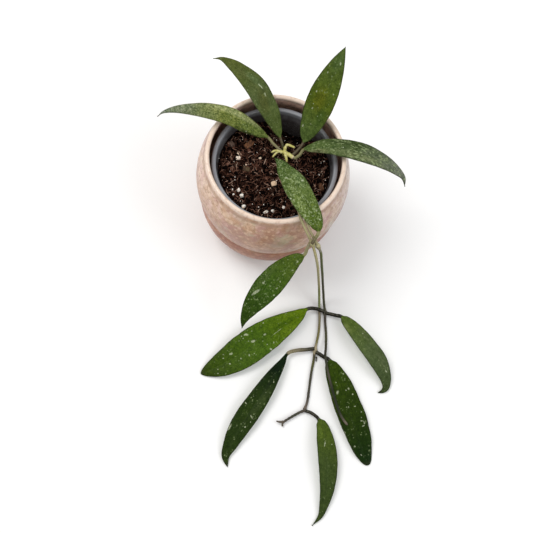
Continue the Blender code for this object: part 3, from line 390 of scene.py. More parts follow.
# The photograph's viewing angle, as the camera's place and its forward and up directions
CAMERA_PLACE = (-64.08, -228.18, 563.53)
CAMERA_FORWARD = (0.09476, 0.29165, -0.95182)
CAMERA_UP = (0.09908, 0.94861, 0.30053)
CAMERA_LENS = 44.64


def length(name, description, default):
    return FloatProperty(name=name, description=description, default=default * MM,
                         subtype="DISTANCE", unit="LENGTH", precision=5)


def share(name, description, default):
    return FloatProperty(name=name, description=description, default=default, min=0.0, max=4.0,
                         subtype="FACTOR")


def colour(name, description, default):
    return FloatVectorProperty(name=name, description=description, default=default, min=0.0, max=1.0,
                               size=3, subtype="COLOR")


def count(name, description, default):
    return IntProperty(name=name, description=description, default=default, min=0)


class PotSettings(bpy.types.PropertyGroup):
    """Sizes and glaze of the cachepot."""

    unevenness: length("Unevenness", "How far the hand-made wall strays from a true circle", 0.22)
    rings: length("Throwing rings", "Depth of the shallow rings left by the fingers", 0.07)
    beige: colour("Beige", "Main colour of the glaze", (0.46, 0.285, 0.195))
    mauve: colour("Mauve", "Purplish patches, strongest on the lower body", (0.36, 0.195, 0.175))
    pale: colour("Pale", "Thin pale patches", (0.66, 0.515, 0.430))
    green_white: colour("Green-white", "Cool pale patches at the front", (0.49, 0.50, 0.40))
    umber: colour("Umber", "Brown in the hollows of the glaze", (0.28, 0.160, 0.095))
    # The lip's pale colour is partly thinner glaze and partly a painted highlight.
    lip: colour("Lip", "Glaze that has thinned over the lip", (0.74, 0.600, 0.495))
    # inside is far paler than the outer glaze: painted light that stands in for the light in the gap between
    # the two pots.
    inside: colour("Inside", "Glaze on the inner wall", (0.90, 0.60, 0.46))
    clay: colour("Clay", "Bare clay of the foot", (0.50, 0.40, 0.32))


class NurserySettings(bpy.types.PropertyGroup):
    """Finish of the plastic nursery pot."""

    grey: colour("Grey", "Colour of the plastic", (0.25, 0.26, 0.285))
    # The inner grey is partly dust and soil and partly painted shade inside the pot.
    shade: colour("Inner grey", "Colour of the inner wall, dulled by soil", (0.050, 0.044, 0.046))


class SoilSettings(bpy.types.PropertyGroup):
    """Amounts and colours of what the soil is made of."""

    clumps: count("Clumps", "Number of large crumbs of peat", 260)
    crumbs: count("Crumbs", "Number of small crumbs of peat", 2100)
    fibres: count("Fibres", "Number of coir fibres and rootlets", 1350)
    specks: count("Specks", "Number of tiny white grains besides those in their own places", 85)
    roughness: length("Roughness", "Height of the fine relief", 1.0)
    # Dark peat is partly wet peat and partly painted shade in the gaps and the hollow.
    dark: colour("Dark peat", "Colour of the wet peat", (0.0032, 0.0013, 0.0010))
    brown: colour("Brown peat", "Colour of the drier crumbs", (0.124, 0.054, 0.035))
    dry: colour("Dry peat", "Colour of the palest bits", (0.30, 0.185, 0.140))
    perlite: colour("Perlite", "Colour of the white grains", (0.86, 0.82, 0.75))
    stained: colour("Stained perlite", "Colour of the tan grains", (0.66, 0.48, 0.33))


class StemSettings(bpy.types.PropertyGroup):
    """Sizes and colours of the stems and shoots."""

    radius: length("Radius", "Radius between the nodes", 1.05)
    knuckle: length("Knuckle", "How much thicker a stem is at a node", 0.85)
    cork: colour("Cork", "How much paler the streaks on a stem are", (0.95, 0.92, 0.85))
    scar: colour("Scar", "Colour of the scars at a node", (0.46, 0.41, 0.27))
    crown: colour("Crown", "Colour of the shoots at the crown", (0.47, 0.44, 0.13))
    cut: colour("Cut end", "Colour of the thick shoot's cut end", (0.62, 0.52, 0.33))


class LeafSettings(bpy.types.PropertyGroup):
    """Relief and flecks of the leaves."""

    wave: length("Wave", "How far the margins rise and fall", 0.45)
    quilting: length("Quilting", "Depth of the hollows along the side veins", 0.07)
    silver: colour("Silver", "Colour of the silver flecks", (0.32, 0.39, 0.19))
    dots: colour("Dots", "Colour of the white dots and splashes", (0.46, 0.50, 0.34))
    margin: colour("Margin", "Colour of the thin line round a leaf", (0.022, 0.026, 0.010))
    shine: colour("Stalk highlight", "Colour of the pale line along a leaf's stalk", (0.21, 0.195, 0.150))
    underside: colour("Underside", "Colour of a leaf from below", (0.13, 0.19, 0.07))


class StageSettings(bpy.types.PropertyGroup):
    """Floor and lights."""

    floor_size: length("Floor size", "Side of the square floor", 9000.0)
    floor: colour("Floor", "Colour of the floor", (0.88, 0.88, 0.88))
    key: FloatProperty(name="Key light", description="Power of the large light", default=9.0, unit="POWER")
    fill: FloatProperty(name="Fill light", description="Power of the second light", default=5.0, unit="POWER")
    sky: share("Sky", "Strength of the light from all round", 0.68)


class Value:
    """A shader socket that works in arithmetic, which adds the Math nodes it needs."""

    def __init__(self, paint, socket):
        self.paint = paint
        self.socket = socket

    def maths(self, operation, *values):
        return self.paint.node("Math", {"operation": operation}, dict(enumerate(values)))

    def __add__(self, other):
        return self.maths("ADD", self, other)

    def __sub__(self, other):
        return self.maths("SUBTRACT", self, other)

    def __rsub__(self, other):
        return self.maths("SUBTRACT", other, self)

    def __mul__(self, other):
        return self.maths("MULTIPLY", self, other)

    def __abs__(self):
        return self.maths("ABSOLUTE", self)

    __radd__ = __add__
    __rmul__ = __mul__

    def sine(self):
        return self.maths("SINE", self)

    def step(self, low, high):
        """Rises smoothly from 0 at low to 1 at high. Falls where low is the greater."""
        return self.paint.node("MapRange", {"interpolation_type": "SMOOTHSTEP"},
                               {"Value": self, "From Min": low, "From Max": high})


class Paint:
    """Builds one material, node by node."""

    def __init__(self, name, uniform=None):
        self.material = bpy.data.materials.new(name)
        self.material.use_nodes = True
        self.tree = self.material.node_tree
        self.shader = self.tree.nodes["Principled BSDF"]
        for socket, value in (uniform or {}).items():
            self.shader.inputs[socket].default_value = value

    def node(self, kind, settings=None, inputs=None, out=0):
        """Adds a node with its settings and its sockets' values or links, and gives one of its outputs."""
        made = self.tree.nodes.new("ShaderNode" + kind)
        for name, value in (settings or {}).items():
            if name == "stops":
                self.set_stops(made.color_ramp, value)
            else:
                setattr(made, name, value)
        for name, value in (inputs or {}).items():
            if isinstance(value, Value):
                self.tree.links.new(value.socket, made.inputs[name])
            elif made.inputs[name].type == "RGBA":
                made.inputs[name].default_value = (*value[:3], 1.0)
            else:
                made.inputs[name].default_value = value
        return Value(self, made.outputs[out])

    @staticmethod
    def set_stops(ramp, stops):
        ramp.elements[0].position = stops[0][0]
        ramp.elements[0].color = (*stops[0][1], 1.0)
        ramp.elements[-1].position = stops[-1][0]
        ramp.elements[-1].color = (*stops[-1][1], 1.0)
        for place, tint in stops[1:-1]:
            ramp.elements.new(place).color = (*tint, 1.0)

    def place(self):
        """Each point's place in millimetres."""
        return self.scaled(self.node("TexCoord", out="Object"), (1 / MM, 1 / MM, 1 / MM))

    def upward(self):
        """How far each point faces up, from -1 to 1."""
        return self.split(self.node("TexCoord", out="Normal"))[2]

    def scaled(self, vector, by):
        return self.node("VectorMath", {"operation": "MULTIPLY"}, {0: vector, 1: by})

    def moved(self, vector, by):
        return self.node("VectorMath", {"operation": "ADD"}, {0: vector, 1: by})

    def split(self, vector):
        made = self.node("SeparateXYZ", None, {0: vector}).socket.node
        return [Value(self, made.outputs[axis]) for axis in range(3)]

    def read(self, name, out="Fac"):
        """A value that the mesh carries at each of its points."""
        return self.node("Attribute", {"attribute_name": name}, out=out)

    def noise(self, vector, size, detail=3.0, rough=0.55):
        """Soft noise whose lumps are about size across, from about 0.2 to 0.8."""
        return self.node("TexNoise", None,
                         {"Vector": vector, "Scale": 1 / size, "Detail": detail, "Roughness": rough})

    def cells(self, vector, size, feature="F1", out="Distance"):
        """Cells about size across, with how far each point is from its cell's middle or edge."""
        return self.node("TexVoronoi", {"feature": feature}, {"Vector": vector, "Scale": 1 / size}, out)

    def drift(self, vector, scale):
        """A soft random vector, to bend a pattern with."""
        return self.node("TexNoise", None, {"Vector": vector, "Scale": scale, "Detail": 2.0}, "Color")

    def away(self, vector, centre):
        """How far each point lies from a centre."""
        return self.node("VectorMath", {"operation": "DISTANCE"}, {0: vector, 1: centre}, "Value")

    def ramp(self, stops, factor):
        return self.node("ValToRGB", {"stops": stops}, {"Fac": factor})

    def mix(self, factor, first, second, blend="MIX"):
        """A colour between two others."""
        return self.node("Mix", {"data_type": "RGBA", "blend_type": blend},
                         {0: factor, 6: first, 7: second}, 2)

    def coats(self, base, *coats):
        """The base with colours laid over it, each with how strongly it covers."""
        for factor, tint in coats:
            base = self.mix(factor, base, tint)
        return base

    def tints(self, base, *tints):
        """The base multiplied by colours, each with how strongly it tells."""
        for factor, tint in tints:
            base = self.mix(factor, base, tint, "MULTIPLY")
        return base

    def finish(self, colour, roughness, height=None, coat=None):
        """Links the shader's sockets. Height is in millimetres."""
        self.tree.links.new(colour.socket, self.shader.inputs["Base Color"])
        for name, value in (("Roughness", roughness), ("Coat Weight", coat)):
            if isinstance(value, Value):
                self.tree.links.new(value.socket, self.shader.inputs[name])
            elif value is not None:
                self.shader.inputs[name].default_value = value
        if height is not None:
            bump = self.node("Bump", None, {"Strength": 1.0, "Distance": MM, "Height": height})
            self.tree.links.new(bump.socket, self.shader.inputs["Normal"])
        return self.material


def glaze(pot, marks):
    """Mottled pink-beige reactive glaze. marks has the profile's lengths at foot and lip."""
    paint = Paint("mottled_glaze", {"Coat Roughness": 0.12, "Specular IOR Level": 0.3})
    place = paint.place()
    along = paint.read("profile")
    across, depth, height = paint.split(place)
    warped = paint.moved(place, paint.scaled(paint.drift(place, 0.16), (5.0, 5.0, 5.0)))
    broad = paint.noise(warped, 22.0, 2.0, 0.5)
    patches = paint.noise(warped, 7.5, 3.0, 0.55)
    mottle = paint.noise(paint.moved(place, (40.0, 7.0, 0.0)), 3.2, 3.0, 0.6)
    fine = paint.noise(place, 0.8, 3.0, 0.6)
    flakes = paint.cells(warped, 4.0, "SMOOTH_F1")
    cool = paint.noise(paint.moved(warped, (0.0, 0.0, 61.0)), 17.0, 2.0)
    tinge = paint.noise(paint.moved(warped, (31.0, 0.0, 0.0)), 9.0, 2.0)
    streaks = paint.noise(paint.scaled(place, (1.0, 1.0, 0.12)), 3.5, 3.0)
    foot, lip = marks["foot"], marks["lip"]

    # At the front the glaze is browner and warmer, with fewer pale and more green-white patches. The sides
    # are painted paler as painted light, and the middle of the front darker as painted shade.
    front = depth.step(-18.0, -52.0)
    low = height.step(CREASE_HEIGHT + 3.0, CREASE_HEIGHT - 4.0)
    cool = cool.step(0.52, 0.68) * (0.20 + front * 0.60)
    cool = cool.maths("MAXIMUM", cool, paint.away(warped, PALE_PATCH).step(15.0, 4.0) * 0.75)
    base = paint.mix(patches.step(0.40, 0.62) * (0.85 - front * 0.35), pot.beige, pot.pale)
    base = paint.coats(base,
                       ((1.0 - front) * 0.35, pot.pale),
                       (mottle.step(0.48, 0.66) * 0.62, pot.umber),
                       (broad.step(0.50, 0.62) * 0.55, pot.mauve),
                       (cool * (0.3 + patches * 0.9), pot.green_white),
                       (flakes.step(0.40, 0.16) * 0.60, pot.pale),
                       (fine.step(0.56, 0.70) * 0.50, pot.pale),
                       (fine.step(0.46, 0.34) * 0.45, pot.umber),
                       (low * patches.step(0.72, 0.38) * 0.50, pot.mauve),
                       (low * flakes.step(0.42, 0.18) * 0.45, pot.pale))

    # Painted shade, partly browner glaze, where the belly turns in at the front left. Cooler at the right.
    # Mauve below the crease, and darker there, partly painted shade under the belly. Painted shade in the
    # middle of the front.
    turned = height.step(CREASE_HEIGHT + 46.0, CREASE_HEIGHT + 18.0) * (1.0 - low)
    turned = turned * (0.3 + across.step(30.0, -36.0) * 0.7) * (0.4 + depth.step(30.0, -10.0) * 0.6)
    base = paint.tints(base,
                       (low, (0.77, 0.60, 0.57)),
                       (low * height.step(18.0, 38.0), (0.92, 0.82, 0.69)),
                       (turned, (0.75, 0.58, 0.47)),
                       (tinge.step(0.48, 0.62) * 0.8, (1.01, 0.93, 1.07)),
                       (tinge.step(0.50, 0.36) * 0.8, (1.02, 0.975, 0.91)),
                       (across.step(-8.0, -28.0), (1.07, 1.04, 0.97)),
                       (front * abs(across).step(26.0, 8.0), (0.96, 0.91, 0.83)),
                       (across.step(18.0, 42.0), (0.86, 0.90, 0.95)),
                       (front * 0.6, (1.0, 0.95, 0.84)))

    # The crease, dark partly with painted shade, and its painted glint; the inner wall, painted paler
    # as painted light for the gap between the pots; the umber ring under the lip; the lip, paler partly
    # as a painted highlight; and the bare foot
    crease = abs(height - CREASE_HEIGHT - 0.5).step(2.0, 0.3) * along.step(lip, lip - 3.0)
    ring = abs(along - (lip - 6.0)).step(2.6, 0.6)
    bare = along.step(foot + 0.6, foot - 0.2)
    base = paint.coats(
        base,
        (crease * (0.35 + mottle.step(0.40, 0.60) * 0.55), (0.10, 0.050, 0.030)),
        (crease * paint.away(place, GLINT_PLACE).step(7.0, 4.0), (0.85, 0.62, 0.28)),
        (along.step(lip + 4.0, lip + 8.0), paint.mix(streaks.step(0.40, 0.75) * 0.6, pot.inside, pot.mauve)),
        (ring * (0.25 + mottle * 0.6), pot.umber),
        (abs(along - lip).step(4.4, 2.2) * 0.92,
         paint.mix(mottle.step(0.52, 0.68) * 0.4, pot.lip, pot.beige)),
        (bare, paint.mix(fine, pot.clay, pot.beige)))
    relief = (patches * 0.12) + (flakes * 0.10) + (fine * 0.02)
    coat = (1.0 - bare) * (0.35 - low * 0.25)
    return paint.finish(base, 0.26 + mottle * 0.28 + bare * 0.3, relief, coat)


def nursery_plastic(nursery, marks):
    """Cool grey moulded plastic, darker inside with dust and painted shade, and dirty at the soil."""
    paint = Paint("nursery_plastic", {"Specular IOR Level": 0.45})
    place = paint.place()
    along = paint.read("profile")
    cloud = paint.noise(place, 9.0, 3.0)
    scuffs = paint.noise(paint.scaled(place, (1.0, 1.0, 7.0)), 3.0, 4.0, 0.7)
    dust = paint.noise(place, 0.9, 3.0, 0.7)
    low = along.step(marks["soil"] - 5.0, marks["soil"] + 3.0)
    # Below the lip the inside is darker, partly dust and partly painted shade; near the soil it is dirty.
    base = paint.coats(nursery.grey,
                       (along.step(marks["lip"] + 3.0, marks["lip"] + 7.0), nursery.shade),
                       (cloud.step(0.35, 0.75) * 0.22, (0.42, 0.43, 0.45)),
                       (scuffs.step(0.62, 0.72) * 0.25, (0.46, 0.46, 0.47)),
                       (low * (dust.step(0.40, 0.60) * 0.6 + 0.4), (0.022, 0.014, 0.011)))
    relief = (dust * 0.02) + (scuffs * 0.02)
    return paint.finish(base, 0.36 + dust * 0.20 + low * 0.2, relief)


def peat(name, soil):
    """Damp peat, from nearly black in the gaps, partly wet peat and partly painted shade, to a dry reddish
    brown, with painted shade in the hollow. The mesh carries its tone.
    """
    paint = Paint(name, {"Specular IOR Level": 0.04})
    place = paint.place()
    clump = paint.noise(place, 6.0, 3.0)
    fine = paint.noise(place, 0.8, 4.0, 0.7)
    hollow_shade = paint.split(place)[2].step(*HOLLOW_SHADE_HEIGHTS)
    # The gaps are dark with wet peat and painted shade, and painted shade darkens the hollow.
    tone = paint.read("tone") + (fine - 0.5) * 1.2 + (clump - 0.5) * 1.5 - hollow_shade * 0.5 - 0.08
    base = paint.coats(soil.dark, (tone.step(0.15, 0.95), soil.brown), (tone.step(0.80, 1.15), soil.dry))
    return paint.finish(base, 0.74 + fine * 0.2, fine * 0.35)


def coir():
    """Coir fibres, each with its own tone from dark brown to a pinkish tan, with painted shade in the hollow.
    """
    paint = Paint("coir_fibre", {"Specular IOR Level": 0.06})
    place = paint.place()
    fine = paint.noise(place, 0.9, 2.0)
    clump = paint.noise(place, 6.0, 3.0)
    hollow_shade = paint.split(place)[2].step(*HOLLOW_SHADE_HEIGHTS)
    stops = [(0.0, (0.008, 0.0035, 0.0025)), (0.35, (0.062, 0.024, 0.014)), (0.70, (0.155, 0.068, 0.042)),
             (0.90, (0.31, 0.175, 0.125)), (1.0, (0.54, 0.39, 0.30))]
    base = paint.ramp(stops, paint.read("tone") + (clump - 0.5) * 0.9)
    # Painted shade darkens the fibres in the hollow.
    base = paint.tints(base, (fine.step(0.45, 0.7) * 0.5, (0.45, 0.42, 0.40)), (hollow_shade * 0.7, (0.3, 0.3, 0.3)))
    return paint.finish(base, 0.62 + fine * 0.2, fine * 0.1)


def mineral(soil):
    """Perlite: chalky, pitted and a little dirty. The mesh carries how far it is stained tan."""
    paint = Paint("perlite_grain", {"Specular IOR Level": 0.2})
    place = paint.place()
    stain = paint.noise(place, 2.2, 3.0)
    pits = paint.cells(place, 0.6)
    base = paint.mix(paint.read("tone"), soil.perlite, soil.stained)
    base = paint.tints(base,
                       (stain.step(0.48, 0.72) * 0.6, (0.62, 0.52, 0.42)),
                       (pits.step(0.28, 0.10) * 0.5, (0.6, 0.5, 0.4)))
    return paint.finish(base, 0.85 + stain * 0.1, pits * 0.2)


def bark_chip(number, tint):
    """Fibrous bark with darker grain."""
    paint = Paint("bark_chip_" + number, {"Specular IOR Level": 0.25})
    place = paint.place()
    grain = paint.noise(paint.scaled(place, (1.0, 0.35, 2.6)), 0.9, 4.0, 0.65)
    base = paint.mix(grain.step(0.36, 0.64), (0.035, 0.016, 0.010), tint)
    base = paint.tints(base, (grain.step(0.62, 0.76) * 0.6, (1.8, 1.9, 2.2)))
    return paint.finish(base, 0.75 + grain * 0.15, grain * 0.35)


def stem_skin(name, stem, skin):
    """Skin of a stem: its colours by share along, with painted shade on its flanks, and pale streaks
    and scars.
    """
    paint = Paint(name, {"Specular IOR Level": 0.25})
    place = paint.place()
    swell = paint.read("swell")
    streak = paint.noise(place, 1.1, 4.0, 0.65)
    cloud = paint.noise(place, 5.0, 2.0)
    base = paint.ramp(skin, paint.read("along") + (cloud - 0.5) * 0.012)
    # Painted shade on the flanks, away from the top, then the streaks
    base = paint.tints(base,
                       (paint.upward().step(0.75, 0.0) * 0.75, (0.40, 0.37, 0.30)),
                       (streak.step(0.52, 0.68) * 0.5, (0.50, 0.46, 0.40)),
                       (streak.step(0.43, 0.30) * 0.60, tuple(2.0 * part for part in stem.cork)))
    base = paint.mix(swell * streak.step(0.50, 0.38) * 0.5, base, stem.scar)
    base = paint.tints(base, (swell * streak.step(0.56, 0.66) * 0.8, (0.35, 0.30, 0.24)))
    relief = (streak * 0.16) + (cloud * 0.05)
    return paint.finish(base, 0.48 + streak * 0.2, relief)


def crown_skin(stem):
    """Soft yellow-green skin of the young shoots, with painted shade underneath, brown at their dried tips
    and cream at the cut end.
    """
    paint = Paint("crown_skin", {"Specular IOR Level": 0.3})
    place = paint.place()
    cloud = paint.noise(place, 2.4, 3.0)
    fine = paint.noise(place, 0.6, 3.0)
    base = paint.mix(cloud.step(0.42, 0.64), stem.crown, (0.60, 0.56, 0.26))
    # Painted shade underneath, then fine flecks
    base = paint.tints(base,
                       (paint.upward().step(0.6, -0.1) * 0.8, (0.42, 0.42, 0.25)),
                       (fine.step(0.56, 0.70) * 0.6, (0.48, 0.42, 0.30)))
    *dried_arms, cut_arm = (paint.away(place, arm["route"][-1]) for arm in CROWN_ARMS)
    for away in dried_arms:
        base = paint.mix(away.step(1.7, 0.5) * 0.8, base, (0.17, 0.11, 0.05))
    base = paint.mix(cut_arm.step(2.6, 1.4), base, stem.cut)
    in_soil = paint.split(place)[2].step(83.0, 80.0)
    base = paint.mix(in_soil, base, (0.10, 0.080, 0.040))
    return paint.finish(base, 0.50 + fine * 0.15, (fine * 0.10) + (cloud * 0.1))


def leaf_finish(name, look, measures, settings, seed):
    """Waxy blade with tinted regions, partly painted sheen and shade, silver, a dark net, pale marks and a
    dark rim, and its stalk with a painted highlight.
    """
    paint = Paint(name + "_finish",
                  {"Specular IOR Level": 0.035, "Coat Roughness": 0.35, "Coat Weight": 0.025})
    blade = paint.read("blade", "Vector")
    own = paint.moved(blade, (0.0, 0.0, 37.0 * seed))
    across, along, _ = paint.split(blade)
    share_along = paint.read("along")
    edge = abs(paint.read("edge"))
    face = paint.read("face")
    broad = paint.noise(own, 11.0, 2.0)
    cloud = paint.noise(own, 3.6, 3.0, 0.6)
    grain = paint.noise(own, 1.5, 3.0, 0.65)
    fine = paint.noise(own, 0.7, 2.0, 0.6)
    stray = paint.drift(own, 0.9)
    frayed = paint.moved(own, paint.scaled(stray, (1.4, 1.8, 0.0)))
    flow = look.get("flow", FLECK_FLOW)
    fleck, shade, speckle = paint.split(paint.cells(paint.scaled(frayed, flow), 0.78, out="Color"))

    # The blade's own colours, its regions, which are partly painted sheen and painted shade, and its mottling
    low, middle, high = look["blade"]
    base = paint.ramp([(0.0, low), (0.14, low), (0.45, middle), (1.0, high)],
                      share_along + (broad - 0.5) * 0.20)
    for *spot, tint, strength in look["regions"]:
        near = leaf_spot(paint, blade, spot).step(1.0, 0.25)
        base = paint.mix(near * (grain + 0.35) * strength, base, tint)
    slanted = along - abs(across) * VEIN_SLANT
    vein = (slanted * (math.tau / measures["vein_gap"])).sine().step(0.93, 1.0)
    net = paint.cells(frayed, 1.7, "DISTANCE_TO_EDGE").step(0.16, 0.05) * cloud.step(0.34, 0.52)
    base = paint.tints(base,
                       (cloud.step(0.46, 0.68) * 0.45, (0.58, 0.62, 0.50)),
                       (cloud.step(0.46, 0.30) * 0.45, (1.40, 1.32, 1.40)),
                       (shade.step(0.55, 1.0) * look["speckle"], (1.65, 1.45, 1.75)),
                       (shade.step(0.45, 0.0) * look["speckle"], (0.45, 0.52, 0.45)),
                       (vein * edge.step(1.0, 0.7) * 0.16, (1.5, 1.4, 1.5)),
                       (abs(across).step(0.42, 0.12) * 0.30, (1.5, 1.4, 1.5)),
                       (net * look["net"], (0.40, 0.44, 0.36)))

    # Silver flecks, more of them and softer on a leaf with more silver
    amount = look["silver"]
    silver_region = paint.noise(paint.moved(own, (0.0, 0.0, 11.0)), 7.5, 2.0)
    silver = fleck.step(0.96 - 0.30 * amount, 1.0 - 0.14 * amount)
    silver = silver * silver_region.step(0.50 - 0.20 * amount, 0.66 - 0.16 * amount)
    silver = silver * share_along.step(0.02, 0.10) * share_along.step(0.99, 0.92)

    # White dots in cells of their own, and the marks in their places
    fewest = 0.97 - 0.20 * look["dots"]
    dot_pick, dot_size, _ = paint.split(paint.cells(own, 2.3, out="Color"))
    dots = (paint.cells(own, 2.3) - dot_size * 0.14).step(0.11, 0.03)
    white = dots * dot_pick.step(fewest, fewest + 0.02) * 0.7
    warped = paint.moved(blade, paint.scaled(stray, (1.1, 1.5, 0.0)))
    for x, y, *size in look["marks"]:
        mark = leaf_spot(paint, warped, (x + 0.55, y + 0.75, *size)).step(1.25, 0.60)
        white = white.maths("MAXIMUM", white, mark * (speckle * 0.55 + 0.40))

    # The stalk, with a painted highlight along its top
    stalk_start, stalk_end = look["stalk"]
    shine = face.step(0.0, 0.8) * edge.step(0.40, 0.05) * grain.step(0.62, 0.42)
    stalk = paint.mix((share_along * measures["stalk_scale"] + 1.0).step(0.0, 1.0), stalk_start, stalk_end)
    stalk = paint.tints(stalk, (grain.step(0.50, 0.66) * 0.5, (0.5, 0.46, 0.40)))
    stalk = paint.mix(shine * 0.38, stalk, settings.shine)

    base = paint.coats(base,
                       (silver * (0.35 + 0.15 * amount), settings.silver),
                       (white * 0.85, settings.dots),
                       (paint.read("rim").step(0.90, 0.35) * look["rim"], settings.margin),
                       (share_along.step(0.945, 0.985) * look["tip"], (0.022, 0.026, 0.012)),
                       (face.step(0.0, -0.6), settings.underside),
                       (share_along.step(0.022, 0.004), stalk))
    relief = (fine * 0.06) + (cloud * 0.05) + (shade * 0.03) - (vein * 0.05) + (white * 0.05)
    return paint.finish(base, 0.42 + fine * 0.14 + silver * 0.12, relief)


def leaf_spot(paint, place, spot):
    """How far each point lies from a spot's middle, where 1 is the spot's edge."""
    across, along, long, wide, turn = spot
    local = paint.node("Mapping", {"vector_type": "TEXTURE"},
                       {"Vector": place, "Location": (across, along, 0.0),
                        "Rotation": (0.0, 0.0, math.radians(turn)), "Scale": (long / 2, wide / 2, 1.0)})
    return paint.node("VectorMath", {"operation": "LENGTH"}, {0: local}, "Value")


def floor_finish(stage):
    """Plain pale floor with the faintest grain."""
    paint = Paint("floor_finish", {"Specular IOR Level": 0.1})
    grain = paint.noise(paint.place(), 40.0, 2.0)
    base = paint.mix(grain * 0.03, stage.floor, (0.84, 0.84, 0.84))
    return paint.finish(base, 0.9)


def mesh_object(name, points, faces, material, values=None):
    """An object from points in millimetres, which carries the given values at its points."""
    mesh = bpy.data.meshes.new(name)
    mesh.from_pydata((np.asarray(points) * MM).tolist(), [], faces)
    mesh.validate()
    mesh.shade_smooth()
    for key, value in (values or {}).items():
        value = np.asarray(value, np.float32)
        kind, slot = ("FLOAT_VECTOR", "vector") if value.ndim == 2 else ("FLOAT", "value")
        mesh.attributes.new(key, kind, "POINT").data.foreach_set(slot, value.ravel())
    made = bpy.data.objects.new(name, mesh)
    bpy.context.scene.collection.objects.link(made)
    made.data.materials.append(material)
    return made


def place_piece(piece, nodes=()):
    """The piece rides on the plant's one body and stands for its nodes."""
    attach(piece, BODY)
    if nodes:
        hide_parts(*nodes)
    return piece


def applied(piece):
    """Bakes a piece's modifiers into its mesh."""
    bpy.context.view_layer.update()
    seen = piece.evaluated_get(bpy.context.evaluated_depsgraph_get())
    mesh = bpy.data.meshes.new_from_object(seen)
    piece.modifiers.clear()
    piece.data = mesh
    return piece


def facing_out(piece):
    """Turns a closed piece's faces outwards."""
    work = bmesh.new()
    work.from_mesh(piece.data)
    bmesh.ops.recalc_face_normals(work, faces=work.faces)
    work.to_mesh(piece.data)
    work.free()
    return piece


def bowed(start, end, bulge, steps):
    """Points of a profile from start to end, swollen outwards by bulge half way."""
    found = []
    for k in range(steps + 1):
        t = k / steps
        radius = start[0] + (end[0] - start[0]) * t + bulge * 4 * t * (1 - t)
        found.append((radius, start[1] + (end[1] - start[1]) * t))
    return found


def rounded(centre, radius, start, end, steps):
    """Points of a profile on an arc, with its angles in degrees."""
    found = []
    for angle in np.radians(np.linspace(start, end, steps + 1)):
        found.append((centre[0] + radius * math.cos(angle), centre[1] + radius * math.sin(angle)))
    return found


def evened(profile, step):
    """The same profile with its long runs cut into steps."""
    found = [profile[0]]
    for (r0, z0), (r1, z1) in zip(profile, profile[1:]):
        pieces = max(1, round(math.hypot(r1 - r0, z1 - z0) / step))
        for k in range(1, pieces + 1):
            found.append((r0 + (r1 - r0) * k / pieces, z0 + (z1 - z0) * k / pieces))
    return found


def profile_lengths(profile):
    """How far along a profile each of its points lies."""
    steps = [math.hypot(b[0] - a[0], b[1] - a[1]) for a, b in zip(profile, profile[1:])]
    return np.concatenate([[0.0], np.cumsum(steps)])


def round_angles(sides):
    """The angles of evenly spaced points on a circle."""
    return [math.tau * j / sides for j in range(sides)]


def closed_body(rows):
    """Points and faces of a closed body: a first point, rings of points, and a last point."""
    sides = len(rows[1])
    points = [point for row in rows for point in row]
    last = len(points) - 1
    faces = []
    for j in range(sides):
        after = (j + 1) % sides
        faces.append((0, 1 + after, 1 + j))
        for low in range(1, last - sides, sides):
            faces.append((low + j, low + after, low + sides + after, low + sides + j))
        faces.append((last - sides + j, last - sides + after, last))
    return points, faces


def lathe(name, profile, sides, material, shift=None):
    """A closed body turned about the Z axis, which carries each point's length along the profile."""
    rows = [[(0.0, 0.0, profile[0][1])]]
    for radius, height in profile[1:-1]:
        row = []
        for angle in round_angles(sides):
            reach = radius + (shift(radius, angle, height) if shift else 0.0)
            row.append((reach * math.cos(angle), reach * math.sin(angle), height))
        rows.append(row)
    rows.append([(0.0, 0.0, profile[-1][1])])
    lengths = np.repeat(profile_lengths(profile), [len(row) for row in rows])
    points, faces = closed_body(rows)
    return facing_out(mesh_object(name, points, faces, material, {"profile": lengths}))


def smooth_route(points, count):
    """Evenly spaced points along a smooth curve through the given ones."""
    given = np.array(points, float)
    ends = [2 * given[0] - given[1], *given, 2 * given[-1] - given[-2]]
    fine = []
    for k in range(1, len(ends) - 2):
        p0, p1, p2, p3 = (np.array(ends[k + shift]) for shift in (-1, 0, 1, 2))
        knots = [0.0]
        for a, b in ((p0, p1), (p1, p2), (p2, p3)):
            knots.append(knots[-1] + math.sqrt(np.linalg.norm(b - a)))
        t0, t1, t2, t3 = knots
        for t in np.linspace(t1, t2, 24, endpoint=False):
            a1 = (t1 - t) / (t1 - t0) * p0 + (t - t0) / (t1 - t0) * p1
            a2 = (t2 - t) / (t2 - t1) * p1 + (t - t1) / (t2 - t1) * p2
            a3 = (t3 - t) / (t3 - t2) * p2 + (t - t2) / (t3 - t2) * p3
            b1 = (t2 - t) / (t2 - t0) * a1 + (t - t0) / (t2 - t0) * a2
            b2 = (t3 - t) / (t3 - t1) * a2 + (t - t1) / (t3 - t1) * a3
            fine.append((t2 - t) / (t2 - t1) * b1 + (t - t1) / (t2 - t1) * b2)
    fine = np.array([*fine, given[-1]])
    return points_at(fine, np.linspace(0, walked_along(fine)[-1], count))


def walked_along(route):
    """How far along a route each of its points lies."""
    return np.concatenate([[0.0], np.cumsum(np.linalg.norm(np.diff(route, axis=0), axis=1))])


def points_at(route, wanted):
    """The places that lie at the wanted lengths along a route."""
    walked = walked_along(route)
    return np.stack([np.interp(wanted, walked, route[:, axis]) for axis in range(3)], 1)


def directions(route):
    """The unit direction of a route at each of its points."""
    along = np.gradient(route, axis=0)
    return along / np.linalg.norm(along, axis=1)[:, None]


def carried_frames(route):
    """Side and up vectors that follow a stem's route without twisting."""
    along = directions(route)
    side = np.cross(along[0], (0.3, 1.0, 0.2))
    sides = []
    for direction in along:
        side = side - direction * (side @ direction)
        side = side / np.linalg.norm(side)
        sides.append(side)
    sides = np.array(sides)
    return sides, np.cross(sides, along)


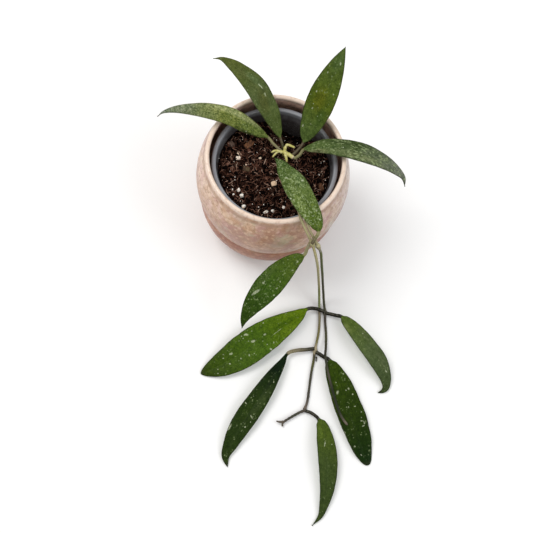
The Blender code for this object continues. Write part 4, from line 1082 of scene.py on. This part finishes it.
def level_frames(route, twist):
    """Side and up vectors of a blade: level from side to side, then twisted."""
    along = directions(route)
    side = np.cross(along, (0.0, 0.0, 1.0))
    side = side / np.linalg.norm(side, axis=1)[:, None]
    up = np.cross(side, along)
    angle = np.radians(np.linspace(twist[0], twist[1], len(route)))[:, None]
    return side * np.cos(angle) + up * np.sin(angle), up * np.cos(angle) - side * np.sin(angle)


def tube_shape(route, radii, sides, first=0, rough=0.0, lump=2.0):
    """Points and faces of a round stem with closed ends, roughened by noise. rough may differ along it."""
    side, up = carried_frames(route)
    rough = np.broadcast_to(rough, len(route))
    points = []
    for k, centre in enumerate(route):
        for angle in round_angles(sides):
            out = side[k] * math.cos(angle) + up[k] * math.sin(angle)
            bump = 1.0 + rough[k] * noise.noise(Vector((centre + out * radii[k]) / lump)) if rough[k] else 1.0
            points.append(centre + out * radii[k] * bump)
    last = first + len(points) - 1
    faces = [tuple(range(first, first + sides)), tuple(range(last, last - sides, -1))]
    for low in range(first, last - sides, sides):
        for j in range(sides):
            after = (j + 1) % sides
            faces.append((low + j, low + after, low + sides + after, low + sides + j))
    return points, faces


def bell(away, width):
    """Falls smoothly from 1 at no distance to nothing far beyond the width."""
    return np.exp(-(away / width) ** 2)


def pot_profile():
    """The cachepot's outline from the middle of its foot, over the lip, to the middle of its floor."""
    lower = bowed((FOOT_RADIUS + FOOT_BEVEL, FOOT_BEVEL), (CREASE_RADIUS, CREASE_HEIGHT - 1.2),
                  LOWER_BULGE, 34)
    belly = bowed((CREASE_RADIUS + CREASE_STEP, CREASE_HEIGHT + 0.9), (LIP_OUTER + 0.3, POT_HEIGHT - 3.0),
                  BELLY_BULGE, 44)
    crease = [(CREASE_RADIUS - 0.25, CREASE_HEIGHT - 0.5), (CREASE_RADIUS - 0.35, CREASE_HEIGHT),
              (CREASE_RADIUS + 0.4, CREASE_HEIGHT + 0.35), (CREASE_RADIUS + 1.0, CREASE_HEIGHT + 0.6)]
    lip_radius = (LIP_OUTER - LIP_INNER) / 2
    lip_centre = ((LIP_OUTER + LIP_INNER) / 2, POT_HEIGHT - lip_radius)
    lip = rounded(lip_centre, lip_radius, -12, 192, 18)
    inner_crease = (CREASE_RADIUS + CREASE_STEP - WALL, CREASE_HEIGHT)
    inner_belly = bowed((LIP_INNER + 0.7, POT_HEIGHT - 6.5), inner_crease, BELLY_BULGE, 30)
    under_crease = (CREASE_RADIUS - WALL - 0.6, CREASE_HEIGHT - 3.0)
    inner_lower = bowed(under_crease, (FOOT_RADIUS - 2.0, POT_FLOOR + 1.2), LOWER_BULGE - 1.0, 16)
    foot = [(0.0, 0.8), (FOOT_RADIUS - 7.0, 0.8), (FOOT_RADIUS - 6.0, 0.0), (FOOT_RADIUS, 0.0),
            (FOOT_RADIUS + 1.0, 0.45)]
    profile = foot + lower + crease + belly + lip + inner_belly + inner_lower
    profile += [(FOOT_RADIUS - 4.5, POT_FLOOR), (0.0, POT_FLOOR)]
    lengths = profile_lengths(profile)
    at_lip = len(foot) + len(lower) + len(crease) + len(belly) + len(lip) // 2
    return profile, {"foot": lengths[len(foot) + 1], "lip": lengths[at_lip]}


def make_cachepot(pot):
    """The glazed outer pot, with shallow throwing rings and a slightly uneven wall."""
    profile, marks = pot_profile()

    def shift(radius, angle, height):
        if radius < FOOT_RADIUS - 1.0:
            return 0.0
        grown = min(1.0, height / 30.0)
        calm = 1.0 - 0.7 * max(0.0, (height - 90.0) / 15.0)
        around = Vector((math.cos(angle) * 1.5, math.sin(angle) * 1.5, height / 34.0))
        uneven = noise.noise(around) + 0.35 * noise.noise(around * 4.0)
        rings = math.sin(height * 1.9 + 0.7 * math.sin(angle + height / 15.0))
        return grown * calm * (uneven * pot.unevenness / MM * 1.6 + rings * pot.rings / MM)

    piece = lathe("cachepot_glazed", profile, POT_SIDES, glaze(pot, marks), shift)
    return place_piece(piece, ["cachepot"])


def nursery_inner(height):
    """Inner radius of the nursery pot's wall at a height."""
    rise = (height - NURSERY_FLOOR) / (NURSERY_RIM - COLLAR_DEPTH - NURSERY_FLOOR)
    return NURSERY_FOOT + (NURSERY_NECK - NURSERY_FOOT) * rise - NURSERY_WALL


def nursery_profile():
    """The nursery pot's outline from the middle of its foot, over its collar, to the middle of its floor."""
    neck = NURSERY_RIM - COLLAR_DEPTH
    skirt = NURSERY_RIM_OUTER - NURSERY_WALL
    inside_floor = NURSERY_FLOOR + NURSERY_WALL
    soft = 1.15
    top = NURSERY_RIM - soft
    outer = [(0.0, NURSERY_FLOOR), (NURSERY_FOOT - 1.2, NURSERY_FLOOR), (NURSERY_FOOT, NURSERY_FLOOR + 1.2),
             (NURSERY_NECK, neck), (NURSERY_NECK + 0.5, NURSERY_RIM - 2.2), (skirt, NURSERY_RIM - 2.2),
             (skirt, neck + 1.0), (NURSERY_RIM_OUTER - 0.2, neck + 0.8), (NURSERY_RIM_OUTER, neck + 1.1)]
    lip = rounded((NURSERY_RIM_OUTER - soft, top), soft, 0, 90, 7)
    lip += rounded((NURSERY_RIM_INNER + soft, top), soft, 90, 180, 7)
    inner = [(NURSERY_RIM_INNER, NURSERY_RIM - 4.0), (NURSERY_RIM_INNER - 0.15, NURSERY_RIM - 7.0),
             (nursery_inner(neck) + 0.3, neck + 1.5), (nursery_inner(neck), neck),
             (nursery_inner(inside_floor + 1.0), inside_floor + 1.0),
             (nursery_inner(inside_floor) - 1.0, inside_floor), (0.0, inside_floor)]
    lengths = profile_lengths(outer + lip + inner)
    at_lip = len(outer) + len(lip) // 2
    at_neck = len(outer) + len(lip) + 3
    marks = {"lip": lengths[at_lip], "soil": lengths[at_neck] + neck - SOIL_LEVEL}
    return evened(outer, 3.0) + lip + evened([lip[-1], *inner], 1.5)[1:], marks


def make_nursery_pot(nursery):
    """The plastic inner pot with its rolled collar and drain holes."""
    profile, marks = nursery_profile()
    plastic = nursery_plastic(nursery, marks)
    piece = lathe("nursery_pot_shell", profile, NURSERY_SIDES, plastic)
    holes = []
    for k in range(DRAIN_HOLES):
        angle = math.tau * (k + 0.5) / DRAIN_HOLES
        x, y = DRAIN_CIRCLE * math.cos(angle), DRAIN_CIRCLE * math.sin(angle)
        route = np.array([(x, y, NURSERY_FLOOR - 1.0), (x, y, NURSERY_FLOOR + NURSERY_WALL + 1.0)])
        points, faces = tube_shape(route, [DRAIN_HOLE] * 2, HOLE_SIDES)
        hole = facing_out(mesh_object("drain_%d" % k, points, faces, plastic))
        cut = piece.modifiers.new("hole", "BOOLEAN")
        cut.operation = "DIFFERENCE"
        cut.solver = "EXACT"
        cut.object = hole
        holes.append(hole)
    applied(piece)
    for hole in holes:
        bpy.data.objects.remove(hole, do_unlink=True)
    return place_piece(piece, ["nursery_pot"])


def soil_clods():
    """Places, radii and heights of the clods that stand out of the soil."""
    draw = random.Random(SOIL_SEED)
    clods = []
    for _ in range(CLODS):
        angle = draw.uniform(0, math.tau)
        reach = 38 * math.sqrt(draw.random())
        radius = draw.uniform(4, 8)
        tall = draw.uniform(0.8, 2.4)
        clods.append((reach * math.cos(angle), reach * math.sin(angle), radius, tall))
    return clods


SOIL_CLODS = soil_clods()


def soil_height(x, y):
    """Height of the soil at a place: a level with hollows in it and clods of peat that stand out of it."""
    height = SOIL_LEVEL
    for (hx, hy), depth, reach in SOIL_HOLLOWS:
        height -= depth * math.exp(-((x - hx) ** 2 + (y - hy) ** 2) / reach ** 2)
    rise = 0.0
    for cx, cy, radius, tall in SOIL_CLODS:
        away = math.hypot(x - cx, y - cy) / radius
        if away < 1:
            rise = max(rise, tall * (1 - away * away))
    return height + rise


def soil_edge(angle):
    """Radius and height at which the soil meets the nursery pot's wall."""
    height = SOIL_LEVEL
    for (hx, hy), depth, reach in SOIL_HOLLOWS:
        away = math.hypot(SOIL_EDGE_PROBE * math.cos(angle) - hx, SOIL_EDGE_PROBE * math.sin(angle) - hy)
        height -= depth * math.exp(-(away / reach) ** 2)
    return nursery_inner(height) - 0.15, height


def crumbly(place, size):
    """From 0 in the cracks between crumbs of about the given size to 1 on top of them."""
    near, second = noise.voronoi(place / size)[0][:2]
    return min(1.0, (second - near) / 0.45)


def bed_point(x, y, rough):
    """A point of the soil's rough top, and its tone, dark in the cracks with wet peat and painted shade."""
    place = Vector((x, y, 0.0))
    coarse = crumbly(place + noise.noise_vector(place / 3.0) * 1.2, COARSE_CRUMB)
    small = crumbly(place + noise.noise_vector(place / 0.9) * 0.4, FINE_CRUMB)
    relief = 0.55 * coarse + 0.45 * small
    height = soil_height(x, y) + rough * (2.0 * relief - 1.9 + 0.8 * noise.fractal(place / 1.2, 0.8, 2.1, 3))
    return (x, y, height), relief * (0.38 + 0.38 * noise.cell(place / 2.1))


def make_soil_bed(soil):
    """The soil's body, with a rough top."""
    inside_floor = NURSERY_FLOOR + NURSERY_WALL + 0.3
    foot = nursery_inner(inside_floor + 1.0) - 1.3
    rough = soil.roughness / MM
    noise.seed_set(SOIL_SEED)      # or else noise_vector starts from the clock
    rows = [[(0.0, 0.0, inside_floor)], [], []]
    tones = [0.0] * (1 + 2 * SOIL_SIDES)
    for angle in round_angles(SOIL_SIDES):
        edge, height = soil_edge(angle)
        rows[1].append((foot * math.cos(angle), foot * math.sin(angle), inside_floor))
        rows[2].append(((edge - 0.3) * math.cos(angle), (edge - 0.3) * math.sin(angle), height - 4.0))
    for ring in range(SOIL_RINGS):
        row = []
        for angle in round_angles(SOIL_SIDES):
            radius = soil_edge(angle)[0] * (SOIL_RINGS - ring) / SOIL_RINGS
            point, tone = bed_point(radius * math.cos(angle), radius * math.sin(angle), rough)
            row.append(point)
            tones.append(tone)
        rows.append(row)
    middle, tone = bed_point(0.0, 0.0, rough)
    rows.append([middle])
    tones.append(tone)
    points, faces = closed_body(rows)
    piece = facing_out(mesh_object("soil_bed", points, faces, peat("damp_peat", soil), {"tone": tones}))
    return place_piece(piece, ["soil"])


def lump_mesh(cuts):
    """Unit points and triangles of a ball."""
    work = bmesh.new()
    bmesh.ops.create_icosphere(work, subdivisions=cuts, radius=1.0)
    points = np.array([corner.co[:] for corner in work.verts])
    faces = np.array([[corner.index for corner in face.verts] for face in work.faces])
    work.free()
    return points, faces


def scattered(draw, margin):
    """A random place on the soil, at least the margin away from the nursery pot."""
    angle = draw.uniform(0, math.tau)
    away = (soil_edge(angle)[0] - margin) * math.sqrt(draw.random())
    return away * math.cos(angle), away * math.sin(angle)


def turn_matrix(draw):
    """A random turn in space."""
    return np.array(Matrix.Rotation(draw.uniform(0, math.tau), 3, "X")
                    @ Matrix.Rotation(draw.uniform(0, math.tau), 3, "Y")
                    @ Matrix.Rotation(draw.uniform(0, math.tau), 3, "Z"))


def strewn_lumps(name, lumps, cuts, material, draw, rough=0.35):
    """Many irregular crumbs on the soil, each given by its place, size, how far it is sunk in, and tone."""
    ball, faces = lump_mesh(cuts)
    points = []
    tones = []
    triangles = []
    for k, (x, y, size, sunk, tone) in enumerate(lumps):
        shape = np.array([draw.uniform(0.65, 1.25), draw.uniform(0.6, 1.0), draw.uniform(0.5, 0.9)])
        offset = Vector((draw.uniform(0, 90), draw.uniform(0, 90), draw.uniform(0, 90)))
        swell = np.array([1 + rough * noise.noise(Vector(p) * 1.6 + offset) for p in ball])
        lump = (ball * swell[:, None] * shape * size) @ turn_matrix(draw).T
        points.append(lump + (x, y, soil_height(x, y) - 0.2 + size * (0.5 - sunk)))
        triangles.append(faces + len(ball) * k)
        tones += [tone] * len(ball)
    piece = mesh_object(name, np.concatenate(points), np.concatenate(triangles).tolist(), material,
                        {"tone": tones})
    return place_piece(piece)


def random_lumps(draw, number, low, high, sunk, tone):
    """Places, sizes and tones for many crumbs, with few large ones."""
    lumps = []
    for _ in range(number):
        size = low + (high - low) * draw.random() ** 2.2
        lumps.append((*scattered(draw, size + 0.6), size, sunk, tone + 0.9 * (draw.random() - 0.5)))
    return lumps


def make_soil_litter(soil):
    """Crumbs, fibres and white specks that lie on the soil."""
    draw = random.Random(LITTER_SEED)
    crumb = peat("peat_crumbs", soil)
    clumps = random_lumps(draw, soil.clumps, low=0.9, high=2.4, sunk=0.35, tone=0.35)
    strewn_lumps("soil_clumps", clumps, 3, crumb, draw, rough=0.55)
    crumbs = random_lumps(draw, soil.crumbs, low=0.35, high=1.0, sunk=0.2, tone=0.48)
    strewn_lumps("soil_crumbs", crumbs, 2, crumb, draw)
    specks = [(x, y, size, 0.0, 0.0) for x, y, size in WHITE_SPECKS]
    specks += [(x, y, size, 0.1, 0.8) for x, y, size in TAN_SPECKS]
    specks += random_lumps(draw, soil.specks, low=0.24, high=0.6, sunk=0.0, tone=0.25)
    strewn_lumps("soil_specks", specks, 2, mineral(soil), draw)
    strewn_fibres(soil.fibres, draw)


def strewn_fibres(number, draw):
    """Curled fibres that lie on the soil, without those that would reach into the nursery pot's wall."""
    points = []
    faces = []
    tones = []
    for _ in range(number):
        x, y = scattered(draw, 2.5)
        heading = draw.uniform(0, math.tau)
        bend = draw.uniform(-0.35, 0.35)
        step = draw.uniform(0.35, 1.1)
        thick = draw.uniform(0.10, 0.26)
        lift = draw.uniform(0.2, 1.3)
        route = []
        for k in range(7):
            arch = lift * math.sin(math.pi * k / 6)
            route.append((x, y, soil_height(x, y) + 0.25 + arch))
            heading += bend + draw.uniform(-0.35, 0.35)
            x += step * math.cos(heading)
            y += step * math.sin(heading)
        if any(math.hypot(x, y) > soil_edge(math.atan2(y, x))[0] - 0.5 for x, y, _ in route):
            continue
        radii = thick * np.array([0.5, 0.9, 1.0, 1.0, 0.95, 0.8, 0.4])
        fibre_points, fibre_faces = tube_shape(np.array(route), radii, FIBRE_SIDES, len(points))
        points += fibre_points
        faces += fibre_faces
        tones += [draw.random()] * len(fibre_points)
    fibres = mesh_object("soil_fibres", points, faces, coir(), {"tone": tones})
    place_piece(facing_out(fibres))


def make_grains(soil):
    """The larger grains of perlite and chips of bark, each in its own place."""
    ball, faces = lump_mesh(4)
    chalk = mineral(soil)
    for k, grain in enumerate(PERLITE):
        offset = Vector((9.0 * k, 3.0, 5.0))
        swell = np.array([0.98 + 0.30 * noise.noise(Vector(p) * 1.3 + offset)
                          - 0.10 * abs(noise.noise(Vector(p) * 5.0 + offset)) for p in ball])
        grain_piece("perlite", k, ball * swell[:, None], faces, grain, chalk, WARM_GRAINS.get(k + 1, 0.0))
    block = np.sign(ball) * np.abs(ball) ** 0.42
    block /= np.abs(block).max(axis=0)
    for k, grain in enumerate(BARK):
        offset = Vector((4.0, 7.0 * k, 2.0))
        swell = np.array([0.96 + 0.14 * noise.noise(Vector((p[0] * 0.8, p[1] * 3.0, p[2] * 4.0)) + offset)
                          for p in block])
        chip = bark_chip("%02d" % (k + 1), BARK_TINTS[k])
        grain_piece("bark", k, block * swell[:, None], faces, grain, chip, 0.0)


def grain_piece(kind, k, shape, faces, grain, material, tone):
    """One grain on the soil, from its unit shape and its place, half sizes and turn."""
    (x, y), half_sizes, turn = grain
    spin = np.array(Matrix.Rotation(math.radians(turn), 3, "Z"))
    points = (shape * half_sizes) @ spin.T + (x, y, soil_height(x, y) + half_sizes[2] * 0.35)
    number = "%02d" % (k + 1)
    piece = mesh_object("%s_grain_%s" % (kind, number), points, faces.tolist(), material,
                        {"tone": [tone] * len(points)})
    place_piece(piece, ["%s_%s" % (kind, number)])


def make_stem(name, stem, settings, node):
    """A trailing stem with knobbly nodes. It carries its share along and how near a node each point is."""
    route = smooth_route(stem["route"], STEM_STEPS)
    total = walked_along(route)
    swell = np.zeros(len(route))
    for centre in stem["nodes"]:
        away = np.linalg.norm(route - np.array(centre), axis=1)
        swell = np.maximum(swell, bell(away, NODE_REACH))
    wander = np.array([noise.noise(Vector(p) / 5.0) for p in route])
    radii = settings.radius / MM * (1 + 0.07 * wander) + swell * settings.knuckle / MM
    radii[-4:] *= (0.97, 0.88, 0.70, 0.42)
    points, faces = tube_shape(route, radii, STEM_SIDES, rough=0.12 + 0.40 * swell, lump=0.9)
    points = np.maximum(points, (-np.inf, -np.inf, STEM_CLEARANCE))
    values = {"along": np.repeat(total / total[-1], STEM_SIDES), "swell": np.repeat(swell, STEM_SIDES)}
    skin = stem_skin(name + "_bark", settings, stem["skin"])
    piece = facing_out(mesh_object(name, points, faces, skin, values))
    return place_piece(piece, [node])


def fused_shoots(name, arms, material, voxel, smoothing):
    """Several short shoots grown into one, with soft joints."""
    points = []
    faces = []
    for arm in arms:
        route = smooth_route(arm["route"], SHOOT_STEPS)
        radii = np.linspace(arm["radii"][0], arm["radii"][1], len(route))
        reach = walked_along(route)
        radii = radii * (1 + 0.10 * np.sin(reach * 2.1))
        radii[-3:] *= (0.94, 0.82, 0.55)
        arm_points, arm_faces = tube_shape(route, radii, STEM_SIDES, len(points), rough=0.10, lump=1.1)
        points += arm_points
        faces += arm_faces
    piece = facing_out(mesh_object(name, points, faces, material))
    fuse = piece.modifiers.new("fuse", "REMESH")
    fuse.mode = "VOXEL"
    fuse.voxel_size = voxel * MM
    soften = piece.modifiers.new("soften", "SMOOTH")
    soften.iterations = smoothing
    soften.factor = 0.5
    applied(piece)
    piece.data.shade_smooth()
    return piece


def add_shares(piece, route):
    """Gives a piece each point's share along a route, found from the route's nearest point."""
    fine = smooth_route(route, RULER_STEPS)
    tree = KDTree(len(fine))
    for k, point in enumerate(fine):
        tree.insert(Vector(point * MM), k)
    tree.balance()
    found = [tree.find(corner.co)[1] / (len(fine) - 1) for corner in piece.data.vertices]
    for key, value in (("along", found), ("swell", [0.0] * len(found))):
        piece.data.attributes.new(key, "FLOAT", "POINT").data.foreach_set("value", value)


def make_shoots(stem):
    """The crown with its arms, and the small shoots of the trailing stems."""
    crown = fused_shoots("crown_shoots", [CROWN_STALK, *CROWN_ARMS], crown_skin(stem), voxel=0.24,
                         smoothing=3)
    place_piece(crown, ["crown_stem"])
    skin = stem_skin("end_shoot_bark", stem, SHOOT_SKIN)
    end = fused_shoots("end_shoot_tip", [*END_SHOOT, END_KNUCKLE], skin, voxel=0.20, smoothing=2)
    add_shares(end, END_SHOOT[0]["route"])
    place_piece(end, ["end_shoot"])
    bud = fused_shoots("side_bud_tip", [SIDE_BUD], skin, voxel=0.16, smoothing=2)
    add_shares(bud, SIDE_BUD["route"])
    place_piece(bud, ["side_bud"])


def blade_share(t, leaf):
    """Half width of a blade at share t of its length, as a share of the greatest."""
    widest = leaf["widest"]
    if t < widest:
        return math.sin(math.pi / 2 * t / widest) ** leaf["base"]
    return max(0.0, math.cos(math.pi / 2 * (t - widest) / (1 - widest))) ** leaf["tip"]


def leaf_stations(stalk_share):
    """Shares along a leaf, from its stalk at less than 0 to its tip at 1, closer together at both ends."""
    stalk = np.linspace(-stalk_share, 0.0, 14, endpoint=False)
    base = np.linspace(0.0, 0.10, 14, endpoint=False)
    middle = np.linspace(0.10, 0.90, 62, endpoint=False)
    tip = 0.90 + 0.10 * np.sin(np.linspace(0, math.pi / 2, 18))
    return np.concatenate([stalk, base, middle, tip])


def leaf_route(leaf):
    """Places along a leaf from its stem to its tip, their shares, and the lengths of stalk and blade."""
    first, second = (Vector(point) for point in leaf["stalk"][:2])
    stalk = [tuple(first + (first - second).normalized() * STALK_JOINT), *leaf["stalk"]]
    whole = smooth_route(stalk + leaf["rib"], LEAF_STEPS)
    stalk_length = walked_along(smooth_route(stalk + leaf["rib"][:1], RULER_STEPS))[-1]
    blade_length = walked_along(whole)[-1] - stalk_length
    shares = leaf_stations(stalk_length / blade_length)
    return points_at(whole, stalk_length + shares * blade_length), shares, stalk_length, blade_length


def blade_height(a, face, half, along, wobble, vein_gap, fold, settings, seed):
    """Height of a blade's upper or lower face over its midrib's route, at share a of the half width."""
    wave = settings.wave / MM
    thick = BLADE_EDGE + (BLADE_MIDDLE - BLADE_EDGE) * (1 - a * a)
    thick *= min(1.0, 0.45 + half / 4) * (1 - 0.75 * abs(a) ** 14)
    lift = fold * abs(a) * half
    lift += wave * abs(a) ** 1.6 * wobble * 2.2 * min(1.0, half / 5)
    lift += 0.5 * wave * noise.noise(Vector((a * half / 9, along / 13, seed * 5.0)))
    slant = (along - VEIN_SLANT * abs(a) * half) * math.tau / vein_gap
    lift += settings.quilting / MM * math.cos(slant) * (1 - abs(a) ** 3) * min(1.0, half / 5)
    depth, width = (0.26, 0.55) if face > 0 else (0.30, 0.80)
    lift -= depth * bell(a * half, width) * min(1.0, half / 3)
    return lift + face * thick / 2


def make_leaf(name, leaf, look, settings, seed):
    """A whole leaf: a round stalk that flattens into a thin blade with a grooved midrib and waved margins."""
    route, shares, stalk_length, blade_length = leaf_route(leaf)
    side, up = level_frames(route, leaf["twist"])
    columns = np.array([-a for a in ACROSS[:0:-1]] + list(ACROSS))
    angles = np.radians(177 - 174 * (columns + 1) / 2)
    vein_gap = blade_length / SIDE_VEINS
    points = []
    carried = []
    for k, t in enumerate(shares):
        flat = min(1.0, max(0.0, t / BLEND_SHARE))
        flat = flat * flat * (3 - 2 * flat)
        half = max(TIP_WIDTH, leaf["half_width"] * blade_share(min(1.0, max(0.0, t)), leaf))
        along = t * blade_length
        stalk_radius = leaf["stalk_radius"] * (1 + 0.10 * noise.noise(Vector((along / 3, seed, 0.0))))
        wobble = [noise.noise(Vector((along / 16, seed * 7.3, s * 3.1))) for s in (-1, 1)]
        ripple = [noise.noise(Vector((along / 5.5, seed * 3.7, s * 9.1))) for s in (-1, 1)]
        for face in (1, -1):
            for a, angle in zip(columns, angles):
                x_round = stalk_radius * math.cos(angle)
                z_round = stalk_radius * math.sin(angle) * face
                half_of = int(a > 0)
                size = half * (1 + 0.035 * wobble[half_of] + 0.022 * ripple[half_of])
                z_flat = blade_height(a, face, half, along, wobble[half_of], vein_gap, leaf["fold"],
                                      settings, seed)
                x = (1 - flat) * x_round + flat * a * size
                z = (1 - flat) * z_round + flat * z_flat
                points.append(route[k] + side[k] * x + up[k] * z)
                carried.append(((a * half, along, 0.0), a, half * (1 - abs(a)), t, face))
    points = np.maximum(points, (-np.inf, -np.inf, LEAF_CLEARANCE))
    faces = leaf_faces(len(shares), len(columns))
    values = dict(zip(("blade", "edge", "rim", "along", "face"), zip(*carried)))
    measures = dict(vein_gap=vein_gap, stalk_scale=blade_length / stalk_length)
    finish = leaf_finish(name, look, measures, settings, seed)
    piece = facing_out(mesh_object(name + "_blade", points, faces, finish, values))
    return place_piece(piece, [name])


def leaf_faces(rings, columns):
    """Faces of a closed leaf, whose rings each hold the upper points and then the lower ones."""
    ring = 2 * columns
    faces = []
    for k in range(rings - 1):
        a = k * ring
        b = a + ring
        for j in range(columns - 1):
            faces.append((a + j, a + j + 1, b + j + 1, b + j))
            low_a = a + columns + j
            low_b = b + columns + j
            faces.append((low_a, low_b, low_b + 1, low_a + 1))
        for j in (0, columns - 1):
            faces.append((a + j, b + j, b + columns + j, a + columns + j))
    for k in (0, rings - 1):
        for j in range(columns - 1):
            a = k * ring + j
            faces.append((a, a + 1, a + 1 + columns, a + columns))
    return faces


def add_area_light(name, power, place, target, size, tint):
    """A round lamp that looks at its target."""
    light = bpy.data.lights.new(name, "AREA")
    light.shape = "DISK"
    light.size = size
    light.energy = power
    light.color = tint
    made = bpy.data.objects.new(name, light)
    made.location = place
    made.rotation_euler = (Vector(target) - Vector(place)).to_track_quat("-Z", "Y").to_euler()
    bpy.context.scene.collection.objects.link(made)


def add_camera():
    """The camera at the photograph's viewing angle."""
    data = bpy.data.cameras.new("camera")
    data.lens = CAMERA_LENS
    data.clip_start = 0.01
    made = bpy.data.objects.new("camera", data)
    bpy.context.scene.collection.objects.link(made)
    forward = Vector(CAMERA_FORWARD).normalized()
    up = Vector(CAMERA_UP)
    up = (up - forward * up.dot(forward)).normalized()
    right = forward.cross(up)
    axes = Matrix((right, up, -forward)).transposed()
    made.matrix_world = Matrix.Translation(Vector(CAMERA_PLACE) * MM) @ axes.to_4x4()
    bpy.context.scene.camera = made


def make_stage(stage):
    """Floor, lights, plain sky and camera."""
    half = stage.floor_size / MM / 2
    corners = [(x * half, y * half, 0.0) for x, y in ((-1, -1), (1, -1), (1, 1), (-1, 1))]
    floor = mesh_object("floor", corners, [(0, 1, 2, 3)], floor_finish(stage))
    world = bpy.data.worlds.new("sky")
    world.use_nodes = True
    sky = world.node_tree.nodes["Background"]
    sky.inputs["Color"].default_value = (1.0, 1.0, 1.0, 1.0)
    sky.inputs["Strength"].default_value = stage.sky
    bpy.context.scene.world = world
    add_area_light("key_light", stage.key, place=(-0.55, 0.35, 1.15), target=(0.0, -0.06, 0.05), size=0.7,
                   tint=(1.0, 0.985, 0.96))
    add_area_light("fill_light", stage.fill, place=(0.9, -0.5, 0.9), target=(0.0, -0.08, 0.05), size=0.9,
                   tint=(0.97, 0.985, 1.0))
    add_camera()
    bpy.context.scene.view_settings.view_transform = "Standard"


class HOYA_OT_add_cachepot(bpy.types.Operator):
    """Adds the glazed outer pot"""

    bl_idname = "hoya.add_cachepot"
    bl_label = "Cachepot"

    def execute(self, context):
        make_cachepot(context.scene.hoya_pot)
        return {"FINISHED"}


class HOYA_OT_add_nursery_pot(bpy.types.Operator):
    """Adds the plastic inner pot"""

    bl_idname = "hoya.add_nursery_pot"
    bl_label = "Nursery pot"

    def execute(self, context):
        make_nursery_pot(context.scene.hoya_nursery)
        return {"FINISHED"}


class HOYA_OT_add_soil(bpy.types.Operator):
    """Adds the soil's body"""

    bl_idname = "hoya.add_soil"
    bl_label = "Soil"

    def execute(self, context):
        make_soil_bed(context.scene.hoya_soil)
        return {"FINISHED"}


class HOYA_OT_add_litter(bpy.types.Operator):
    """Adds the crumbs, fibres and specks on the soil"""

    bl_idname = "hoya.add_litter"
    bl_label = "Soil litter"

    def execute(self, context):
        make_soil_litter(context.scene.hoya_soil)
        return {"FINISHED"}


class HOYA_OT_add_grains(bpy.types.Operator):
    """Adds the grains of perlite and chips of bark"""

    bl_idname = "hoya.add_grains"
    bl_label = "Perlite and bark"

    def execute(self, context):
        make_grains(context.scene.hoya_soil)
        return {"FINISHED"}


class HOYA_OT_add_stems(bpy.types.Operator):
    """Adds the two trailing stems"""

    bl_idname = "hoya.add_stems"
    bl_label = "Trailing stems"

    def execute(self, context):
        stem = context.scene.hoya_stem
        make_stem("pale_trailing_stem", PALE_STEM, stem, "stem_pale")
        make_stem("dark_trailing_stem", DARK_STEM, stem, "stem_dark")
        return {"FINISHED"}


class HOYA_OT_add_shoots(bpy.types.Operator):
    """Adds the crown and the small shoots"""

    bl_idname = "hoya.add_shoots"
    bl_label = "Crown and shoots"

    def execute(self, context):
        make_shoots(context.scene.hoya_stem)
        return {"FINISHED"}


class HOYA_OT_add_leaves(bpy.types.Operator):
    """Adds the eleven leaves"""

    bl_idname = "hoya.add_leaves"
    bl_label = "Leaves"

    def execute(self, context):
        for seed, (name, leaf) in enumerate(LEAVES.items()):
            make_leaf(name, leaf, LOOKS[name], context.scene.hoya_leaf, seed + 1)
        return {"FINISHED"}


class HOYA_OT_add_stage(bpy.types.Operator):
    """Adds the floor, the lights and the camera"""

    bl_idname = "hoya.add_stage"
    bl_label = "Stage"

    def execute(self, context):
        make_stage(context.scene.hoya_stage)
        return {"FINISHED"}


PIECES = (HOYA_OT_add_cachepot, HOYA_OT_add_nursery_pot, HOYA_OT_add_soil, HOYA_OT_add_litter,
          HOYA_OT_add_grains, HOYA_OT_add_stems, HOYA_OT_add_shoots, HOYA_OT_add_leaves, HOYA_OT_add_stage)
SETTINGS = {"hoya_pot": PotSettings, "hoya_nursery": NurserySettings, "hoya_soil": SoilSettings,
            "hoya_stem": StemSettings, "hoya_leaf": LeafSettings, "hoya_stage": StageSettings}


class HOYA_PT_panel(bpy.types.Panel):
    """Lists the pieces and their settings"""

    bl_label = "Potted hoya"
    bl_idname = "HOYA_PT_panel"
    bl_space_type = "VIEW_3D"
    bl_region_type = "UI"
    bl_category = "Hoya"

    def draw(self, context):
        for piece in PIECES:
            self.layout.operator(piece.bl_idname)
        for key, group in SETTINGS.items():
            box = self.layout.box()
            box.label(text=group.__name__)
            for name in group.__annotations__:
                box.prop(getattr(context.scene, key), name)


def register():
    for group in SETTINGS.values():
        bpy.utils.register_class(group)
    for key, group in SETTINGS.items():
        setattr(bpy.types.Scene, key, PointerProperty(type=group))
    for made in (*PIECES, HOYA_PT_panel):
        bpy.utils.register_class(made)


def unregister():
    for made in (HOYA_PT_panel, *reversed(PIECES)):
        bpy.utils.unregister_class(made)
    for key in SETTINGS:
        delattr(bpy.types.Scene, key)
    for group in reversed(SETTINGS.values()):
        bpy.utils.unregister_class(group)


def main():
    register()
    for piece in PIECES:
        group, name = piece.bl_idname.split(".")
        getattr(getattr(bpy.ops, group), name)()


if __name__ == "__main__":
    main()
